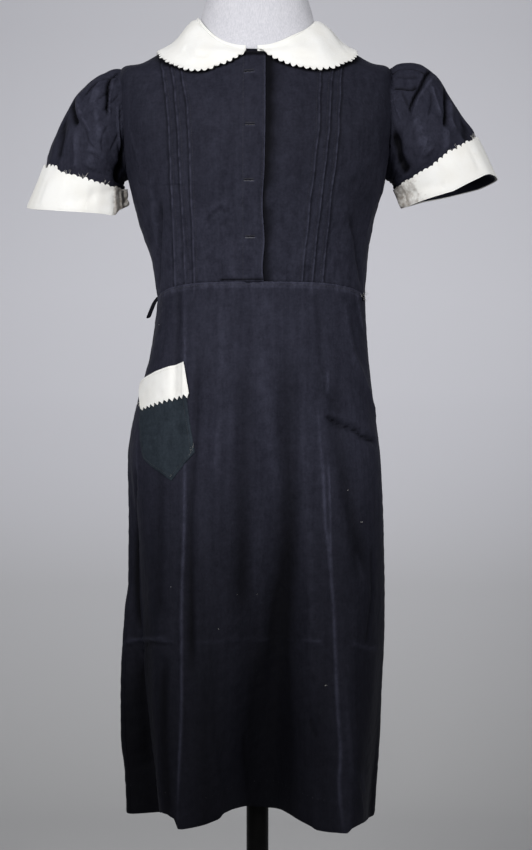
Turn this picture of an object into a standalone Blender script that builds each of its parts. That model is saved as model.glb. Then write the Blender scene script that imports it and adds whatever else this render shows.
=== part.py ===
"""Work uniform on a limbless dress form, at real size, in metres.

A short-sleeved black cotton dress with a white round collar, white cuffs and
one pocket, worn by a padded form on a pole. +Z is up, the dress faces -Y, and
the origin is the middle of the base's underside, on the pole's axis. Right and
left are the wearer's: the wearer's right side lies at -X.

The bodice, the collar and the form share one surface, torso(). It is worked
out from a short table of level sections. A section is a closed oval given by
its reach to each side, its depth to the front and back, and how square it is.
The skirt is skirt(), worked out in the same way, and each sleeve is sleeve().
What is sewn on, such as the pocket, is the same surface moved outwards.
"""

from math import pi, radians

import bmesh
import bpy
import numpy as np

# Cloth
CLOTH = 0.0012
WHITE_CLOTH = 0.0015
SEAM = 0.0003
PLACKET_STEP = 0.0019
TUCK_RISE = 0.0010
TUCK_WIDTH = 0.006
TUCK_DROP = 0.0008
TOOTH_PITCH = 0.0076
TOOTH_DEPTH = 0.0024

# Bodice: a row for each section, from the waist up to the collar's roll. A
# section's side, front and back each lie at a height of their own.
# Columns: left, right, side height, front depth, front height, back depth,
# back height, squareness.
TORSO = {
    "waist":          (0.151, 0.140, 1.040, 0.108, 1.055, 0.090, 1.045, 2.4),
    "rib":            (0.155, 0.150, 1.095, 0.118, 1.108, 0.098, 1.100, 2.4),
    "under bust":     (0.163, 0.167, 1.145, 0.127, 1.160, 0.107, 1.155, 2.5),
    "bust":           (0.176, 0.178, 1.190, 0.131, 1.205, 0.114, 1.205, 2.6),
    "armhole low":    (0.185, 0.187, 1.235, 0.128, 1.248, 0.118, 1.250, 2.8),
    "armhole middle": (0.190, 0.192, 1.285, 0.119, 1.288, 0.117, 1.292, 3.0),
    "armhole high":   (0.190, 0.194, 1.325, 0.108, 1.316, 0.112, 1.328, 3.0),
    "shoulder tip":   (0.185, 0.190, 1.360, 0.096, 1.338, 0.102, 1.358, 2.9),
    "mid shoulder":   (0.158, 0.160, 1.3685, 0.090, 1.352, 0.090, 1.380, 2.6),
    "by the collar":  (0.120, 0.120, 1.393, 0.084, 1.366, 0.077, 1.405, 2.3),
    "neck seam":      (0.083, 0.083, 1.418, 0.078, 1.371, 0.064, 1.424, 2.1),
    "collar roll":    (0.0820, 0.0820, 1.431, 0.0765, 1.377, 0.066, 1.446, 2.1),
}
WAIST_ROW, SHOULDER_ROW, NECK_ROW, ROLL_ROW = 0, 8, 10, 11
# The neckline falls to the front more evenly than the sections below it.
NECK_HASTE = 1.35

# Soft folds of the bodice: angles in degrees from +X towards the front,
# heights as rows of the table above, depths into the body.
# Columns: low angle, high angle, half width, low row, high row, depth.
BODICE_FOLDS = {
    "right side fold": (160, 145, 7, 0.2, 3.2, 0.0050),
    "right front fold": (140, 133, 6, 0.1, 1.8, 0.0025),
    "left side fold":  (17, 34, 7, 0.2, 3.2, 0.0055),
    "left front fold": (38, 44, 6, 0.1, 1.8, 0.0025),
    "back right fold": (212, 222, 8, 0.2, 3.4, 0.0050),
    "back left fold":  (328, 318, 8, 0.2, 3.0, 0.0050),
    "back slack":      (268, 272, 14, 0.3, 2.6, 0.0040),
}

# Armholes: an oval on the torso, in table rows up and down and in degrees
# towards the front and back.
ARMHOLE_ROW = 5.20
ARMHOLE_HALF_ROWS = 1.86
ARMHOLE_HALF_ANGLE = 16.5
ARMHOLE_RADIUS = 0.060
ARMHOLE_STEPS = 14

# Tucks of the fronts. Columns: distance from the middle at the waist, at the
# bust and at the shoulder, which are these rows of the bodice.
TUCK_ROWS = (0.0, 4.2, 8.0)
TUCK_END_ROW = 8.2
TUCK_FADE_ROWS = 0.8
# No tuck comes nearer to the side than this share of the bodice's reach.
TUCK_LIMIT = 0.80
TUCK_LIMIT_STEP = 0.06
TUCKS = {
    -1: {
        "inner":  (0.0860, 0.0920, 0.1070),
        "middle": (0.0980, 0.1070, 0.1190),
        "outer":  (0.1125, 0.1195, 0.1320),
    },
    +1: {
        "inner":  (0.0610, 0.0835, 0.0875),
        "middle": (0.0750, 0.0980, 0.1040),
        "outer":  (0.0890, 0.1110, 0.1165),
    },
}
# The fronts lap over each other between these distances from the middle.
OVER_EDGE = 0.008
UNDER_EDGE = -0.018

# Sleeves: a row for each section from the shoulder to the hem. Each section
# is an oval between its outer point and the point at the underarm.
# Columns: outer x, outer z, inner x, inner z, half depth, front drop.
SLEEVES = {
    "right": {
        "armhole":   (-0.1900, 1.3580, -0.1800, 1.2060, 0.055, 0.000),
        "cap":       (-0.2040, 1.3590, -0.1850, 1.2040, 0.057, 0.000),
        "cap puff":  (-0.2290, 1.3480, -0.1875, 1.2020, 0.064, 0.000),
        "puff":      (-0.2530, 1.3235, -0.1890, 1.2000, 0.067, 0.000),
        "upper arm": (-0.2700, 1.2940, -0.1893, 1.1980, 0.066, 0.000),
        "lower arm": (-0.2870, 1.2600, -0.1885, 1.1955, 0.062, 0.002),
        "cuff top":  (-0.2990, 1.2250, -0.1872, 1.1915, 0.058, 0.006),
        "hem":       (-0.3225, 1.1675, -0.1845, 1.1735, 0.056, 0.015),
    },
    "left": {
        "armhole":   (0.1850, 1.3600, 0.1780, 1.2060, 0.055, 0.000),
        "cap":       (0.2005, 1.3700, 0.1830, 1.2045, 0.057, 0.000),
        "cap puff":  (0.2290, 1.3660, 0.1865, 1.2025, 0.064, 0.000),
        "puff":      (0.2520, 1.3500, 0.1890, 1.2005, 0.067, 0.000),
        "upper arm": (0.2690, 1.3240, 0.1905, 1.1985, 0.067, 0.000),
        "lower arm": (0.2880, 1.2940, 0.1915, 1.1955, 0.064, 0.000),
        "cuff top":  (0.3100, 1.2615, 0.1930, 1.1910, 0.059, 0.000),
        "hem":       (0.3360, 1.2050, 0.2040, 1.1690, 0.057, 0.002),
    },
}
CUFF_TOP_ROW, SLEEVE_HEM_ROW = 6.0, 7.0
# Pleats let into the cap: turns are degrees from the top towards the front.
# Columns: turn at the cap, turn at the end, half width, reach in rows, depth.
PLEATS = {
    "front high": (24, 20, 12, 2.6, 0.0050),
    "front":      (52, 62, 13, 4.2, 0.0060),
    "front low":  (92, 84, 14, 4.6, 0.0045),
    "back high":  (-26, -22, 12, 3.0, 0.0050),
    "back":       (-58, -50, 14, 4.4, 0.0055),
}

# Skirt: a row for each level section from the waist to the hem.
# Columns: height, left, right, front depth, back depth, squareness.
SKIRT = {
    "waist":     (1.045, 0.1510, 0.1400, 0.108, 0.090, 2.4),
    "high hip":  (0.970, 0.1545, 0.1495, 0.115, 0.104, 2.4),
    "hip":       (0.895, 0.1635, 0.1685, 0.122, 0.118, 2.4),
    "seat":      (0.820, 0.1726, 0.1828, 0.126, 0.126, 2.4),
    "thigh":     (0.700, 0.1782, 0.1830, 0.129, 0.127, 2.6),
    "low thigh": (0.600, 0.1796, 0.1865, 0.132, 0.125, 2.7),
    "knee":      (0.500, 0.1772, 0.1922, 0.135, 0.125, 2.8),
    "low knee":  (0.400, 0.1725, 0.1905, 0.137, 0.126, 2.9),
    "hem":       (0.311, 0.1670, 0.1865, 0.138, 0.128, 3.0),
}
# Folds of the skirt. Each moves the cloth by its full shift at the hem, and
# less further up, by the power given, to nothing where it starts. It fades
# over its reach before and after its own line, in degrees.
# Columns: angle at the top, angle at the hem, reach before, reach after,
# height of the start, power, shift in x, shift in y, rise of the hem.
SKIRT_RADIUS = 0.16
SKIRT_ROWS = 15
SKIRT_FOLDS = {
    "centre recess":    (70, 88, 24, 24, 0.93, 1.6, 0.000, 0.102, 0.019),
    "right front ease": (132, 130, 16, 16, 0.90, 1.0, 0.000, 0.018, 0.000),
    "right side fold":  (173, 169, 26, 8, 0.86, 1.0, 0.052, 0.034, 0.002),
    "left front ridge": (52, 49, 13, 13, 0.90, 1.0, 0.008, -0.010, 0.000),
    "left side fold":   (12, 18, 14, 15, 0.80, 1.2, -0.008, 0.034, 0.001),
    "back right fold":  (222, 226, 12, 15, 0.88, 1.3, 0.010, -0.030, 0.003),
    "back fold":        (262, 270, 17, 15, 0.92, 1.5, 0.000, -0.045, 0.006),
    "back left fold":   (318, 312, 14, 12, 0.86, 1.2, -0.012, -0.032, 0.003),
}

# Collar: a row for each point that its edge is drawn through, from the front
# end on the wearer's right round the back. Angles are in degrees, and the
# edge's row is a row of the bodice table.
# Columns: angle at the roll, angle at the edge, row at the edge.
COLLAR = {
    "right end":        (101.3, 101.0, 8.95),
    "right front 1":    (110.0, 111.1, 8.30),
    "right front 2":    (119.0, 120.5, 7.72),
    "right point":      (127.0, 127.5, 7.18),
    "right front 3":    (137.0, 136.0, 7.20),
    "right shoulder 1": (147.0, 145.0, 7.74),
    "right shoulder 2": (160.0, 158.0, 8.30),
    "right shoulder":   (180.0, 180.0, 8.55),
    "back right":       (225.0, 225.0, 7.95),
    "back middle":      (270.0, 270.0, 7.60),
    "back left":        (315.0, 315.0, 7.95),
    "left shoulder":    (360.0, 360.0, 8.60),
    "left shoulder 2":  (379.0, 378.2, 8.32),
    "left shoulder 1":  (392.0, 391.0, 7.95),
    "left front 4":     (400.0, 398.4, 7.48),
    "left point":       (408.0, 407.2, 7.30),
    "left front 3":     (418.0, 418.4, 7.60),
    "left front 2":     (430.0, 431.0, 8.20),
    "left end":         (449.8, 442.0, 8.98),
}
COLLAR_LIFT = 0.0017
COLLAR_PLACKET_LIFT = 0.0018
# Past its roll the collar stands off the neck, most at this share of its width.
COLLAR_ROLL_LIFT = 0.0110
COLLAR_ROLL_WIDTH = 0.20
COLLAR_WIDTHS = (0.0, 0.14, 0.42, 1.0)
COLLAR_WIDTH_POWER = 0.6

# Pocket and its band: corners as an angle on the skirt, in degrees, and a fall
# from the waist as a share of the skirt's length. Outer is towards the side.
# Columns: angle, fall.
POCKET = {
    "top outer":  (164.5, 0.190),
    "top inner":  (133.6, 0.165),
    "foot outer": (155.0, 0.3165),
    "foot point": (137.6, 0.3580),
    "foot inner": (126.1, 0.3060),
}
BAND = {
    "top outer": (169.5, 0.1664),
    "top inner": (134.4, 0.1430),
    "low outer": (163.0, 0.2235),
    "low inner": (130.3, 0.2018),
}
POCKET_COLUMNS, POCKET_ROWS = 8, 5
POCKET_LIFT = 0.0006
BAND_LIFT = 0.0024

# Ties at the waist's side seams: the middle line of the stub, as x, y, z.
TIE_WIDTH = 0.0085
TIE_THICKNESS = 0.0020
TIE_LINE = ((-0.1445, -0.0060, 1.0385), (-0.1475, -0.0050, 1.0310), (-0.1500, -0.0040, 1.0225),
            (-0.1520, -0.0030, 1.0150), (-0.1536, -0.0020, 1.0105))
TIE_ACROSS = (0.72, -0.66, 0.22)
TACK_ANGLE, TACK_FALL = 15.0, 0.008
TACK_RADIUS = 0.0030

# Form, pole and base. The form lies this far inside the cloth, a value for
# each row of the bodice up to the neck seam.
FORM_EASE = (0.0080, 0.0090, 0.0075, 0.0065, 0.0060, 0.0055, 0.0045, 0.0030, 0.0011, 0.0015, 0.0024)
# Columns: height, left, right, front depth, back depth, squareness.
FORM_HIPS = {
    "end":      (0.795, 0.150, 0.150, 0.098, 0.100, 2.4),
    "seat":     (0.830, 0.156, 0.160, 0.106, 0.110, 2.4),
    "hip":      (0.895, 0.150, 0.155, 0.106, 0.105, 2.4),
    "high hip": (0.970, 0.140, 0.137, 0.101, 0.092, 2.4),
}
# Columns: side height, left, right, front depth, front height, back depth,
# back height, squareness.
FORM_NECK = {
    "neck base": (1.429, 0.0792, 0.0792, 0.0690, 1.390, 0.0590, 1.436, 2.1),
    "neck low":  (1.441, 0.0765, 0.0765, 0.0630, 1.422, 0.0590, 1.449, 2.1),
    "neck":      (1.459, 0.0712, 0.0712, 0.0600, 1.457, 0.0590, 1.462, 2.1),
    "neck top":  (1.492, 0.0650, 0.0650, 0.0570, 1.492, 0.0570, 1.494, 2.1),
    "top edge":  (1.500, 0.0580, 0.0580, 0.0500, 1.500, 0.0500, 1.500, 2.1),
}
FORM_COLUMNS_AROUND = 32
POLE_RADIUS = 0.0155
BASE_RADIUS = 0.165
# Columns: radius, height.
BASE_PROFILE = ((BASE_RADIUS, 0.000), (BASE_RADIUS, 0.007), (0.160, 0.011), (0.060, 0.016),
                (0.030, 0.024), (0.026, 0.030), (0.026, 0.055))

# Columns: base colour, roughness, metallic.
MATERIALS = {
    "black_cotton": ((0.028, 0.028, 0.036), 0.85, 0.0),
    "white_cotton": ((0.84, 0.82, 0.76), 0.80, 0.0),
    "form_jersey":  ((0.52, 0.52, 0.55), 0.90, 0.0),
    "black_enamel": ((0.012, 0.012, 0.013), 0.45, 0.0),
}


def read_rows(table, at):
    """Read a table at fractional rows, on a smooth curve through its rows."""
    rows = np.array(list(table.values()), float)
    last = len(rows) - 1
    at = np.asarray(at, float)
    low = np.clip(np.floor(at).astype(int), 0, last - 1)
    f = (at - low)[..., None]
    before, here, after, beyond = (rows[np.clip(low + k, 0, last)] for k in (-1, 0, 1, 2))
    slope = (after - before) * f
    bend = (2.0 * before - 5.0 * here + 4.0 * after - beyond) * f ** 2
    turn = (3.0 * here - before - 3.0 * after + beyond) * f ** 3
    return 0.5 * (2.0 * here + slope + bend + turn)


def oval(angle, left, right, front, back, squareness):
    """Point of an oval with its own reach on each side, and how far front or back it is."""
    c, s = np.cos(angle), np.sin(angle)
    across = np.where(c > 0.0, left, right)
    deep = np.where(s > 0.0, front, back)
    radius = (np.abs(c / across) ** squareness + np.abs(s / deep) ** squareness) ** (-1.0 / squareness)
    return radius * c, -radius * s, np.abs(radius * s) / deep


def level(share, side, middle, haste=2.0):
    """Height of a section, which leaves the side's height and settles at the middle's."""
    return side + (middle - side) * (1.0 - np.clip(1.0 - share ** 2, 0.0, 1.0) ** haste)


def bell(offset, width):
    """A smooth hump, 1 at its line and about 0 at twice its width."""
    return np.exp(-(offset / width) ** 2)


def torso(angle, row):
    """The bodice's outer surface: angle in radians, row of the bodice table."""
    angle, row = np.broadcast_arrays(np.asarray(angle, float), np.asarray(row, float))
    left, right, side, front, front_z, back, back_z, square = np.moveaxis(read_rows(TORSO, row), -1, 0)
    x, y, share = oval(angle, left, right, front, back, square)
    haste = np.interp(row, (SHOULDER_ROW, NECK_ROW), (2.0, NECK_HASTE))
    z = level(share, side, np.where(np.sin(angle) > 0.0, front_z, back_z), haste)
    turn = np.degrees(angle) % 360.0
    for low, high, width, low_row, high_row, depth in BODICE_FOLDS.values():
        along = np.clip((row - low_row) / (high_row - low_row), 0.0, 1.0)
        amount = depth * np.sin(pi * along) * bell(turn - (low + (high - low) * along), width)
        x = x - amount * np.cos(angle)
        y = y + amount * np.sin(angle)
    return np.stack([x, y, z], -1)


def skirt(angle, fall):
    """The skirt's outer surface: angle in radians, fall from 0 at the waist to 1 at the hem."""
    angle, fall = np.broadcast_arrays(np.asarray(angle, float), np.asarray(fall, float))
    heights = [row[0] for row in SKIRT.values()]
    nominal = heights[0] + (heights[-1] - heights[0]) * fall
    at = np.interp(-nominal, [-h for h in heights], range(len(heights)))
    _, left, right, front, back, square = np.moveaxis(read_rows(SKIRT, at), -1, 0)
    x, y, _ = oval(angle, left, right, front, back, square)
    z = nominal + (torso(angle, WAIST_ROW)[..., 2] - 2.0 * SEAM - heights[0]) * (1.0 - fall) ** 3
    turn = np.degrees(angle) % 360.0
    for top, hem, before, after, start, power, dx, dy, rise in SKIRT_FOLDS.values():
        growth = np.clip((start - nominal) / (start - heights[-1]), 0.0, 1.0) ** power
        off = (turn - (top + (hem - top) * fall) + 180.0) % 360.0 - 180.0
        amount = growth * bell(off, np.where(off < 0.0, before, after))
        x = x + dx * amount
        y = y + dy * amount
        z = z + rise * amount * fall
    return np.stack([x, y, z], -1)


def armhole(side, turn):
    """Angle and row of an armhole's edge; turn is 0 at the top and grows to the front."""
    middle = pi if side < 0 else 0.0
    return middle + side * radians(ARMHOLE_HALF_ANGLE) * np.sin(turn), \
        ARMHOLE_ROW + ARMHOLE_HALF_ROWS * np.cos(turn)


def sleeve(side, turn, row):
    """A sleeve's outer surface: turn in radians from the top to the front, row of its table."""
    turn, row = np.broadcast_arrays(np.asarray(turn, float), np.asarray(row, float))
    table = SLEEVES["right" if side < 0 else "left"]

    def plain(at):
        ox, oz, ix, iz, deep, drop = np.moveaxis(read_rows(table, at), -1, 0)
        c, s = np.cos(turn), np.sin(turn)
        x = 0.5 * (ox + ix) + 0.5 * (ox - ix) * c
        z = 0.5 * (oz + iz) + 0.5 * (oz - iz) * c - drop * s
        return np.stack([x, -deep * s, z], -1)

    hole = torso(*armhole(side, turn))
    centre = 0.5 * (torso(*armhole(side, 0.0)) + torso(*armhole(side, pi)))
    hole = hole - (hole - centre) * (3.5 * SEAM / ARMHOLE_RADIUS)
    near = np.clip(1.0 - row / 2.0, 0.0, 1.0)[..., None] ** 2
    point = plain(row) + near * (hole - plain(np.zeros_like(row)))
    axis = np.stack([0.5 * sum(read_rows(table, row)[..., k] for k in pair) for pair in ((0, 2), (1, 3))], -1)
    inward = np.stack([axis[..., 0], np.zeros_like(turn), axis[..., 1]], -1) - point
    inward = inward / np.linalg.norm(inward, axis=-1, keepdims=True)
    degrees = (np.degrees(turn) + 180.0) % 360.0 - 180.0
    for cap, end, width, reach, depth in PLEATS.values():
        along = np.clip(row / reach, 0.0, 1.0)
        fade = np.sin(pi * along ** 0.6)
        amount = depth * fade * bell(degrees - (cap + (end - cap) * along), width)
        point = point + amount[..., None] * inward
    return point


def moved_out(surface, u, v, distance):
    """Points of surface(u, v) moved along its outward normal by distance."""
    step = 1e-4
    across = surface(u + step, v) - surface(u - step, v)
    along = surface(u, v + step) - surface(u, v - step)
    normal = np.cross(along, across)
    normal = normal / np.linalg.norm(normal, axis=-1, keepdims=True)
    return surface(u, v) + normal * np.asarray(distance)[..., None]


def add_piece(name, material, vertices, faces):
    """One closed mesh object, its faces pointing out."""
    mesh = bpy.data.meshes.new(name)
    mesh.from_pydata(np.asarray(vertices).tolist(), [], faces)
    work = bmesh.new()
    work.from_mesh(mesh)
    bmesh.ops.recalc_face_normals(work, faces=work.faces)
    work.to_mesh(mesh)
    work.free()
    mesh.shade_smooth()
    mesh.set_sharp_from_angle(angle=radians(50.0))
    mesh.materials.append(material)
    piece = bpy.data.objects.new(name, mesh)
    bpy.context.scene.collection.objects.link(piece)
    return piece


def add_wall(name, material, outer, inner, closed=False, tips=None):
    """A cloth wall between two grids of points, rows by columns.

    A closed wall joins its last column to its first. tips holds the outer and
    inner points of a row of pinking teeth, one past each cell of the last row.
    """
    rows, columns = outer.shape[:2]
    count = rows * columns
    index = np.arange(count).reshape(rows, columns)
    if closed:
        index = np.hstack([index, index[:, :1]])
    cells = np.stack([index[:-1, :-1], index[:-1, 1:], index[1:, 1:], index[1:, :-1]], -1).reshape(-1, 4)
    faces = cells.tolist() + (cells[:, ::-1] + count).tolist()
    vertices = [outer.reshape(-1, 3), inner.reshape(-1, 3)]
    rims = [index[0, ::-1]]
    if not closed:
        rims += [index[:, 0], index[::-1, -1]]
    if tips is None:
        rims.append(index[-1])
    else:
        teeth = len(tips[0])
        vertices += list(tips)
        for k, (a, b) in enumerate(zip(index[-1, :-1], index[-1, 1:])):
            top, under = 2 * count + k, 2 * count + teeth + k
            faces += [[a, b, top], [b + count, a + count, under]]
            faces += [[a, top, under, a + count], [top, b, b + count, under]]
    for rim in rims:
        faces += [[a, b, b + count, a + count] for a, b in zip(rim[:-1], rim[1:])]
    return add_piece(name, material, np.concatenate(vertices), [[int(v) for v in f] for f in faces])


def add_tube(name, material, rings):
    """A solid through closed rings of points, with a fan over each end."""
    rings = np.asarray(rings)
    rows, columns = rings.shape[:2]
    index = np.arange(rows * columns).reshape(rows, columns)
    index = np.hstack([index, index[:, :1]])
    cells = np.stack([index[:-1, :-1], index[:-1, 1:], index[1:, 1:], index[1:, :-1]], -1)
    faces = cells.reshape(-1, 4).tolist()
    faces += [index[0, :-1].tolist(), index[-1, :-1][::-1].tolist()]
    return add_piece(name, material, rings.reshape(-1, 3), faces)


def bodice_rows():
    """Rows of the bodice's grids, the same on each panel, close together round the armholes."""
    low, high = ARMHOLE_ROW - ARMHOLE_HALF_ROWS, ARMHOLE_ROW + ARMHOLE_HALF_ROWS
    turns = np.linspace(pi, 0.0, ARMHOLE_STEPS + 1)
    middle = ARMHOLE_ROW + ARMHOLE_HALF_ROWS * np.cos(turns)
    return np.concatenate([np.linspace(WAIST_ROW, low, 6)[:-1], middle, np.linspace(high, NECK_ROW, 6)[1:]])


def side_edge(side, rows):
    """How far a front stops short of the side, as an angle: half a seam, or the armhole."""
    reach = np.clip(1.0 - ((rows - ARMHOLE_ROW) / ARMHOLE_HALF_ROWS) ** 2, 0.0, None) ** 0.5
    column = 1 if side < 0 else 0
    seam = 0.5 * SEAM / read_rows(TORSO, rows)[..., column]
    return np.maximum(radians(ARMHOLE_HALF_ANGLE) * reach, seam)


def angle_at(x, row):
    """Angle of the front point that lies at x on a bodice row."""
    left, right, _, front, _, _, _, square = np.moveaxis(read_rows(TORSO, row), -1, 0)
    across = np.where(x > 0.0, left, right)
    y = front * (1.0 - np.abs(x / across) ** square) ** (1.0 / square)
    return np.arctan2(y, x)


def front_lines(side, rows):
    """Columns of a front, from its front edge to its outer tuck: x, wall's lift and tuck's lift."""
    if side < 0:
        lines = [(OVER_EDGE, PLACKET_STEP), (-0.010, PLACKET_STEP), (UNDER_EDGE, PLACKET_STEP),
                 (-0.0225, PLACKET_STEP), (-0.031, 0.0), (-0.056, 0.0)]
    else:
        lines = [(UNDER_EDGE, 0.0), (-0.010, 0.0), (OVER_EDGE, 0.0), (0.034, 0.0)]
    xs = [np.full_like(rows, x) for x, _ in lines]
    lifts = [np.full_like(rows, lift) for _, lift in lines]
    rises = [np.zeros_like(rows) for _ in lines]
    width = read_rows(TORSO, rows)[..., 1 if side < 0 else 0]
    fade = np.clip((TUCK_END_ROW - rows) / TUCK_FADE_ROWS, 0.0, 1.0)
    for k, tuck in enumerate(TUCKS[side].values()):
        edge = np.interp(rows, TUCK_ROWS, tuck)
        steps = ((-TUCK_WIDTH, 0.0), (0.0, TUCK_RISE), (TUCK_DROP, 0.0))
        for j, (offset, rise) in enumerate(steps):
            limit = (TUCK_LIMIT + TUCK_LIMIT_STEP * k + (0.0, 0.035, 0.042)[j]) * width
            xs.append(side * np.minimum(edge + offset, limit))
            lifts.append(np.zeros_like(rows))
            rises.append(rise * fade)
    return np.stack(xs, -1), np.stack(lifts, -1), np.stack(rises, -1)


def add_front(name, material, side):
    """A bodice front: placket edge, three tucks, then the side with its armhole edge."""
    rows = bodice_rows()
    xs, lifts, rises = front_lines(side, rows)
    across = np.broadcast_to(rows[:, None], xs.shape)
    angles = angle_at(xs, across)
    end = pi - side_edge(side, rows) if side < 0 else side_edge(side, rows)
    steps = np.linspace(0.0, 1.0, 5)[1:]
    last = angles[:, -1:]
    angles = np.hstack([angles, last + (end[:, None] - last) * steps])
    pad = ((0, 0), (0, len(steps)))
    lifts, rises = np.pad(lifts, pad), np.pad(rises, pad)
    across = np.broadcast_to(rows[:, None], angles.shape)
    outer = moved_out(torso, angles, across, lifts + rises)
    inner = moved_out(torso, angles, across, lifts - CLOTH)
    return add_wall(name, material, outer, inner)


def add_back(name, material):
    """The bodice back, from one side seam or armhole edge round to the other."""
    rows = bodice_rows()
    start = (pi + side_edge(-1, rows))[:, None]
    end = (2.0 * pi - side_edge(+1, rows))[:, None]
    angles = start + (end - start) * np.linspace(0.0, 1.0, 17)
    across = np.broadcast_to(rows[:, None], angles.shape)
    outer = moved_out(torso, angles, across, np.zeros_like(angles))
    inner = moved_out(torso, angles, across, np.full_like(angles, -CLOTH))
    return add_wall(name, material, outer, inner)


def add_skirt_panel(name, material, first, last, columns):
    """A skirt panel between two side seams, from the waist seam to the hem."""
    seam = 0.5 * SEAM / SKIRT_RADIUS
    angles = np.linspace(first + seam, last - seam, columns + 1)
    fall, angles = np.meshgrid(np.linspace(0.0, 1.0, SKIRT_ROWS), angles, indexing="ij")
    outer = moved_out(skirt, angles, fall, np.zeros_like(fall))
    inner = moved_out(skirt, angles, fall, np.full_like(fall, CLOTH))
    return add_wall(name, material, outer, inner)


def add_sleeve(name, material, side):
    """A sleeve from its armhole seam to its hem."""
    turns = np.arange(2 * ARMHOLE_STEPS) * pi / ARMHOLE_STEPS
    rows = np.array([0.0, 0.5, 1.2, 2.0, 3.0, 4.0, 5.0, CUFF_TOP_ROW, 6.5, SLEEVE_HEM_ROW])
    row, turn = np.meshgrid(rows, turns, indexing="ij")

    def surface(u, v):
        return sleeve(side, u, v)

    outer = surface(turn, row)
    inner = moved_out(surface, turn, row, np.full_like(row, side * CLOTH))
    return add_wall(name, material, outer, inner, closed=True)


def even_steps(points, count, closed):
    """Positions, as fractions of a fine line of points, that are evenly spaced along it."""
    ends = np.vstack([points, points[:1]]) if closed else points
    length = np.concatenate([[0.0], np.cumsum(np.linalg.norm(np.diff(ends, axis=0), axis=1))])
    marks = np.linspace(0.0, length[-1], count + 1)
    return np.interp(marks, length, np.linspace(0.0, 1.0, len(ends)))


def teeth_for(points, closed):
    """Number of pinking teeth along a line of points."""
    ends = np.vstack([points, points[:1]]) if closed else points
    return int(round(np.linalg.norm(np.diff(ends, axis=0), axis=1).sum() / TOOTH_PITCH))


def add_cuff(name, material, side):
    """A white cuff turned up over a sleeve's hem, its upper edge pinked."""
    def surface(u, v):
        return sleeve(side, u, v)

    fine = np.linspace(0.0, 2.0 * pi, 241)[:-1]
    edge = surface(fine, np.full_like(fine, CUFF_TOP_ROW))
    teeth = teeth_for(edge, True)
    turns = even_steps(edge, teeth, True)[:-1] * 2.0 * pi
    rows = np.array([SLEEVE_HEM_ROW + 0.012, 6.5, CUFF_TOP_ROW])
    row, turn = np.meshgrid(rows, turns, indexing="ij")
    gap = -side * 2.0 * SEAM
    rise = -side * (2.0 * SEAM + WHITE_CLOTH)
    outer = moved_out(surface, turn, row, np.full_like(row, rise))
    inner = moved_out(surface, turn, row, np.full_like(row, gap))
    middle = turns + pi / teeth
    hem = surface(middle, np.full(teeth, SLEEVE_HEM_ROW))
    height = np.linalg.norm(hem - surface(middle, np.full(teeth, CUFF_TOP_ROW)), axis=-1)
    tip_row = CUFF_TOP_ROW - TOOTH_DEPTH / height
    tips = (moved_out(surface, middle, tip_row, np.full(teeth, rise)),
            moved_out(surface, middle, tip_row, np.full(teeth, gap)))
    return add_wall(name, material, outer, inner, closed=True, tips=tips)


def collar_grid(share, width):
    """Angle and row on the torso, for a share round the collar and a width from its roll to its edge."""
    last = len(COLLAR) - 1
    roll, edge, edge_row = np.moveaxis(read_rows(COLLAR, share * last), -1, 0)
    return np.radians(roll + (edge - roll) * width), \
        ROLL_ROW + (edge_row - ROLL_ROW) * width ** COLLAR_WIDTH_POWER


def collar_surface(share, width, distance):
    """The collar's cloth, lifted off the bodice, more where it crosses the placket."""
    angle, row = collar_grid(share, width)
    x = torso(angle, row)[..., 0]
    front = np.sin(angle) > 0.0
    lift = COLLAR_LIFT + COLLAR_PLACKET_LIFT * np.where(front, bell(x + 0.008, 0.030), 0.0)
    off_middle = 1.0 - np.clip(np.sin(angle), 0.0, 1.0) ** 2
    share_out = width / COLLAR_ROLL_WIDTH
    lift = lift + COLLAR_ROLL_LIFT * off_middle * share_out * np.exp(0.5 - 0.5 * share_out ** 2)
    return moved_out(torso, angle, row, lift + distance)


def add_collar(name, material):
    """The round collar, from one front end round the back to the other, its edge pinked."""
    fine = np.linspace(0.0, 1.0, 601)
    edge = collar_surface(fine, np.ones_like(fine), 0.0)
    teeth = teeth_for(edge, False)
    shares = even_steps(edge, teeth, False)
    width, share = np.meshgrid(np.array(COLLAR_WIDTHS), shares, indexing="ij")
    outer = collar_surface(share, width, WHITE_CLOTH)
    inner = collar_surface(share, width, 0.0)
    middle = 0.5 * (shares[:-1] + shares[1:])
    near = collar_surface(middle, np.full(teeth, 0.9), 0.0)
    reach = np.linalg.norm(collar_surface(middle, np.ones(teeth), 0.0) - near, axis=-1) * 10.0
    tip_width = 1.0 + TOOTH_DEPTH / reach
    tips = (collar_surface(middle, tip_width, WHITE_CLOTH), collar_surface(middle, tip_width, 0.0))
    return add_wall(name, material, outer, inner, tips=tips)


def between(a, b, share):
    """Straight mix of two corners."""
    return np.asarray(a) + (np.asarray(b) - np.asarray(a)) * np.asarray(share)[..., None]


def patch(corners, shares, falls):
    """Angle and fall of a sewn-on patch: shares run from its outer to its inner side."""
    top = between(corners["top outer"], corners["top inner"], shares)
    if "foot point" in corners:
        outer, point, inner = (np.array(corners[k]) for k in ("foot outer", "foot point", "foot inner"))
        turn = (point[0] - outer[0]) / (inner[0] - outer[0])
        near = between(outer, point, shares / turn)
        far = between(point, inner, (shares - turn) / (1.0 - turn))
        foot = np.where((shares < turn)[..., None], near, far)
    else:
        foot = between(corners["low outer"], corners["low inner"], shares)
    place = top + (foot - top) * falls[..., None]
    return np.radians(place[..., 0]), place[..., 1]


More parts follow.
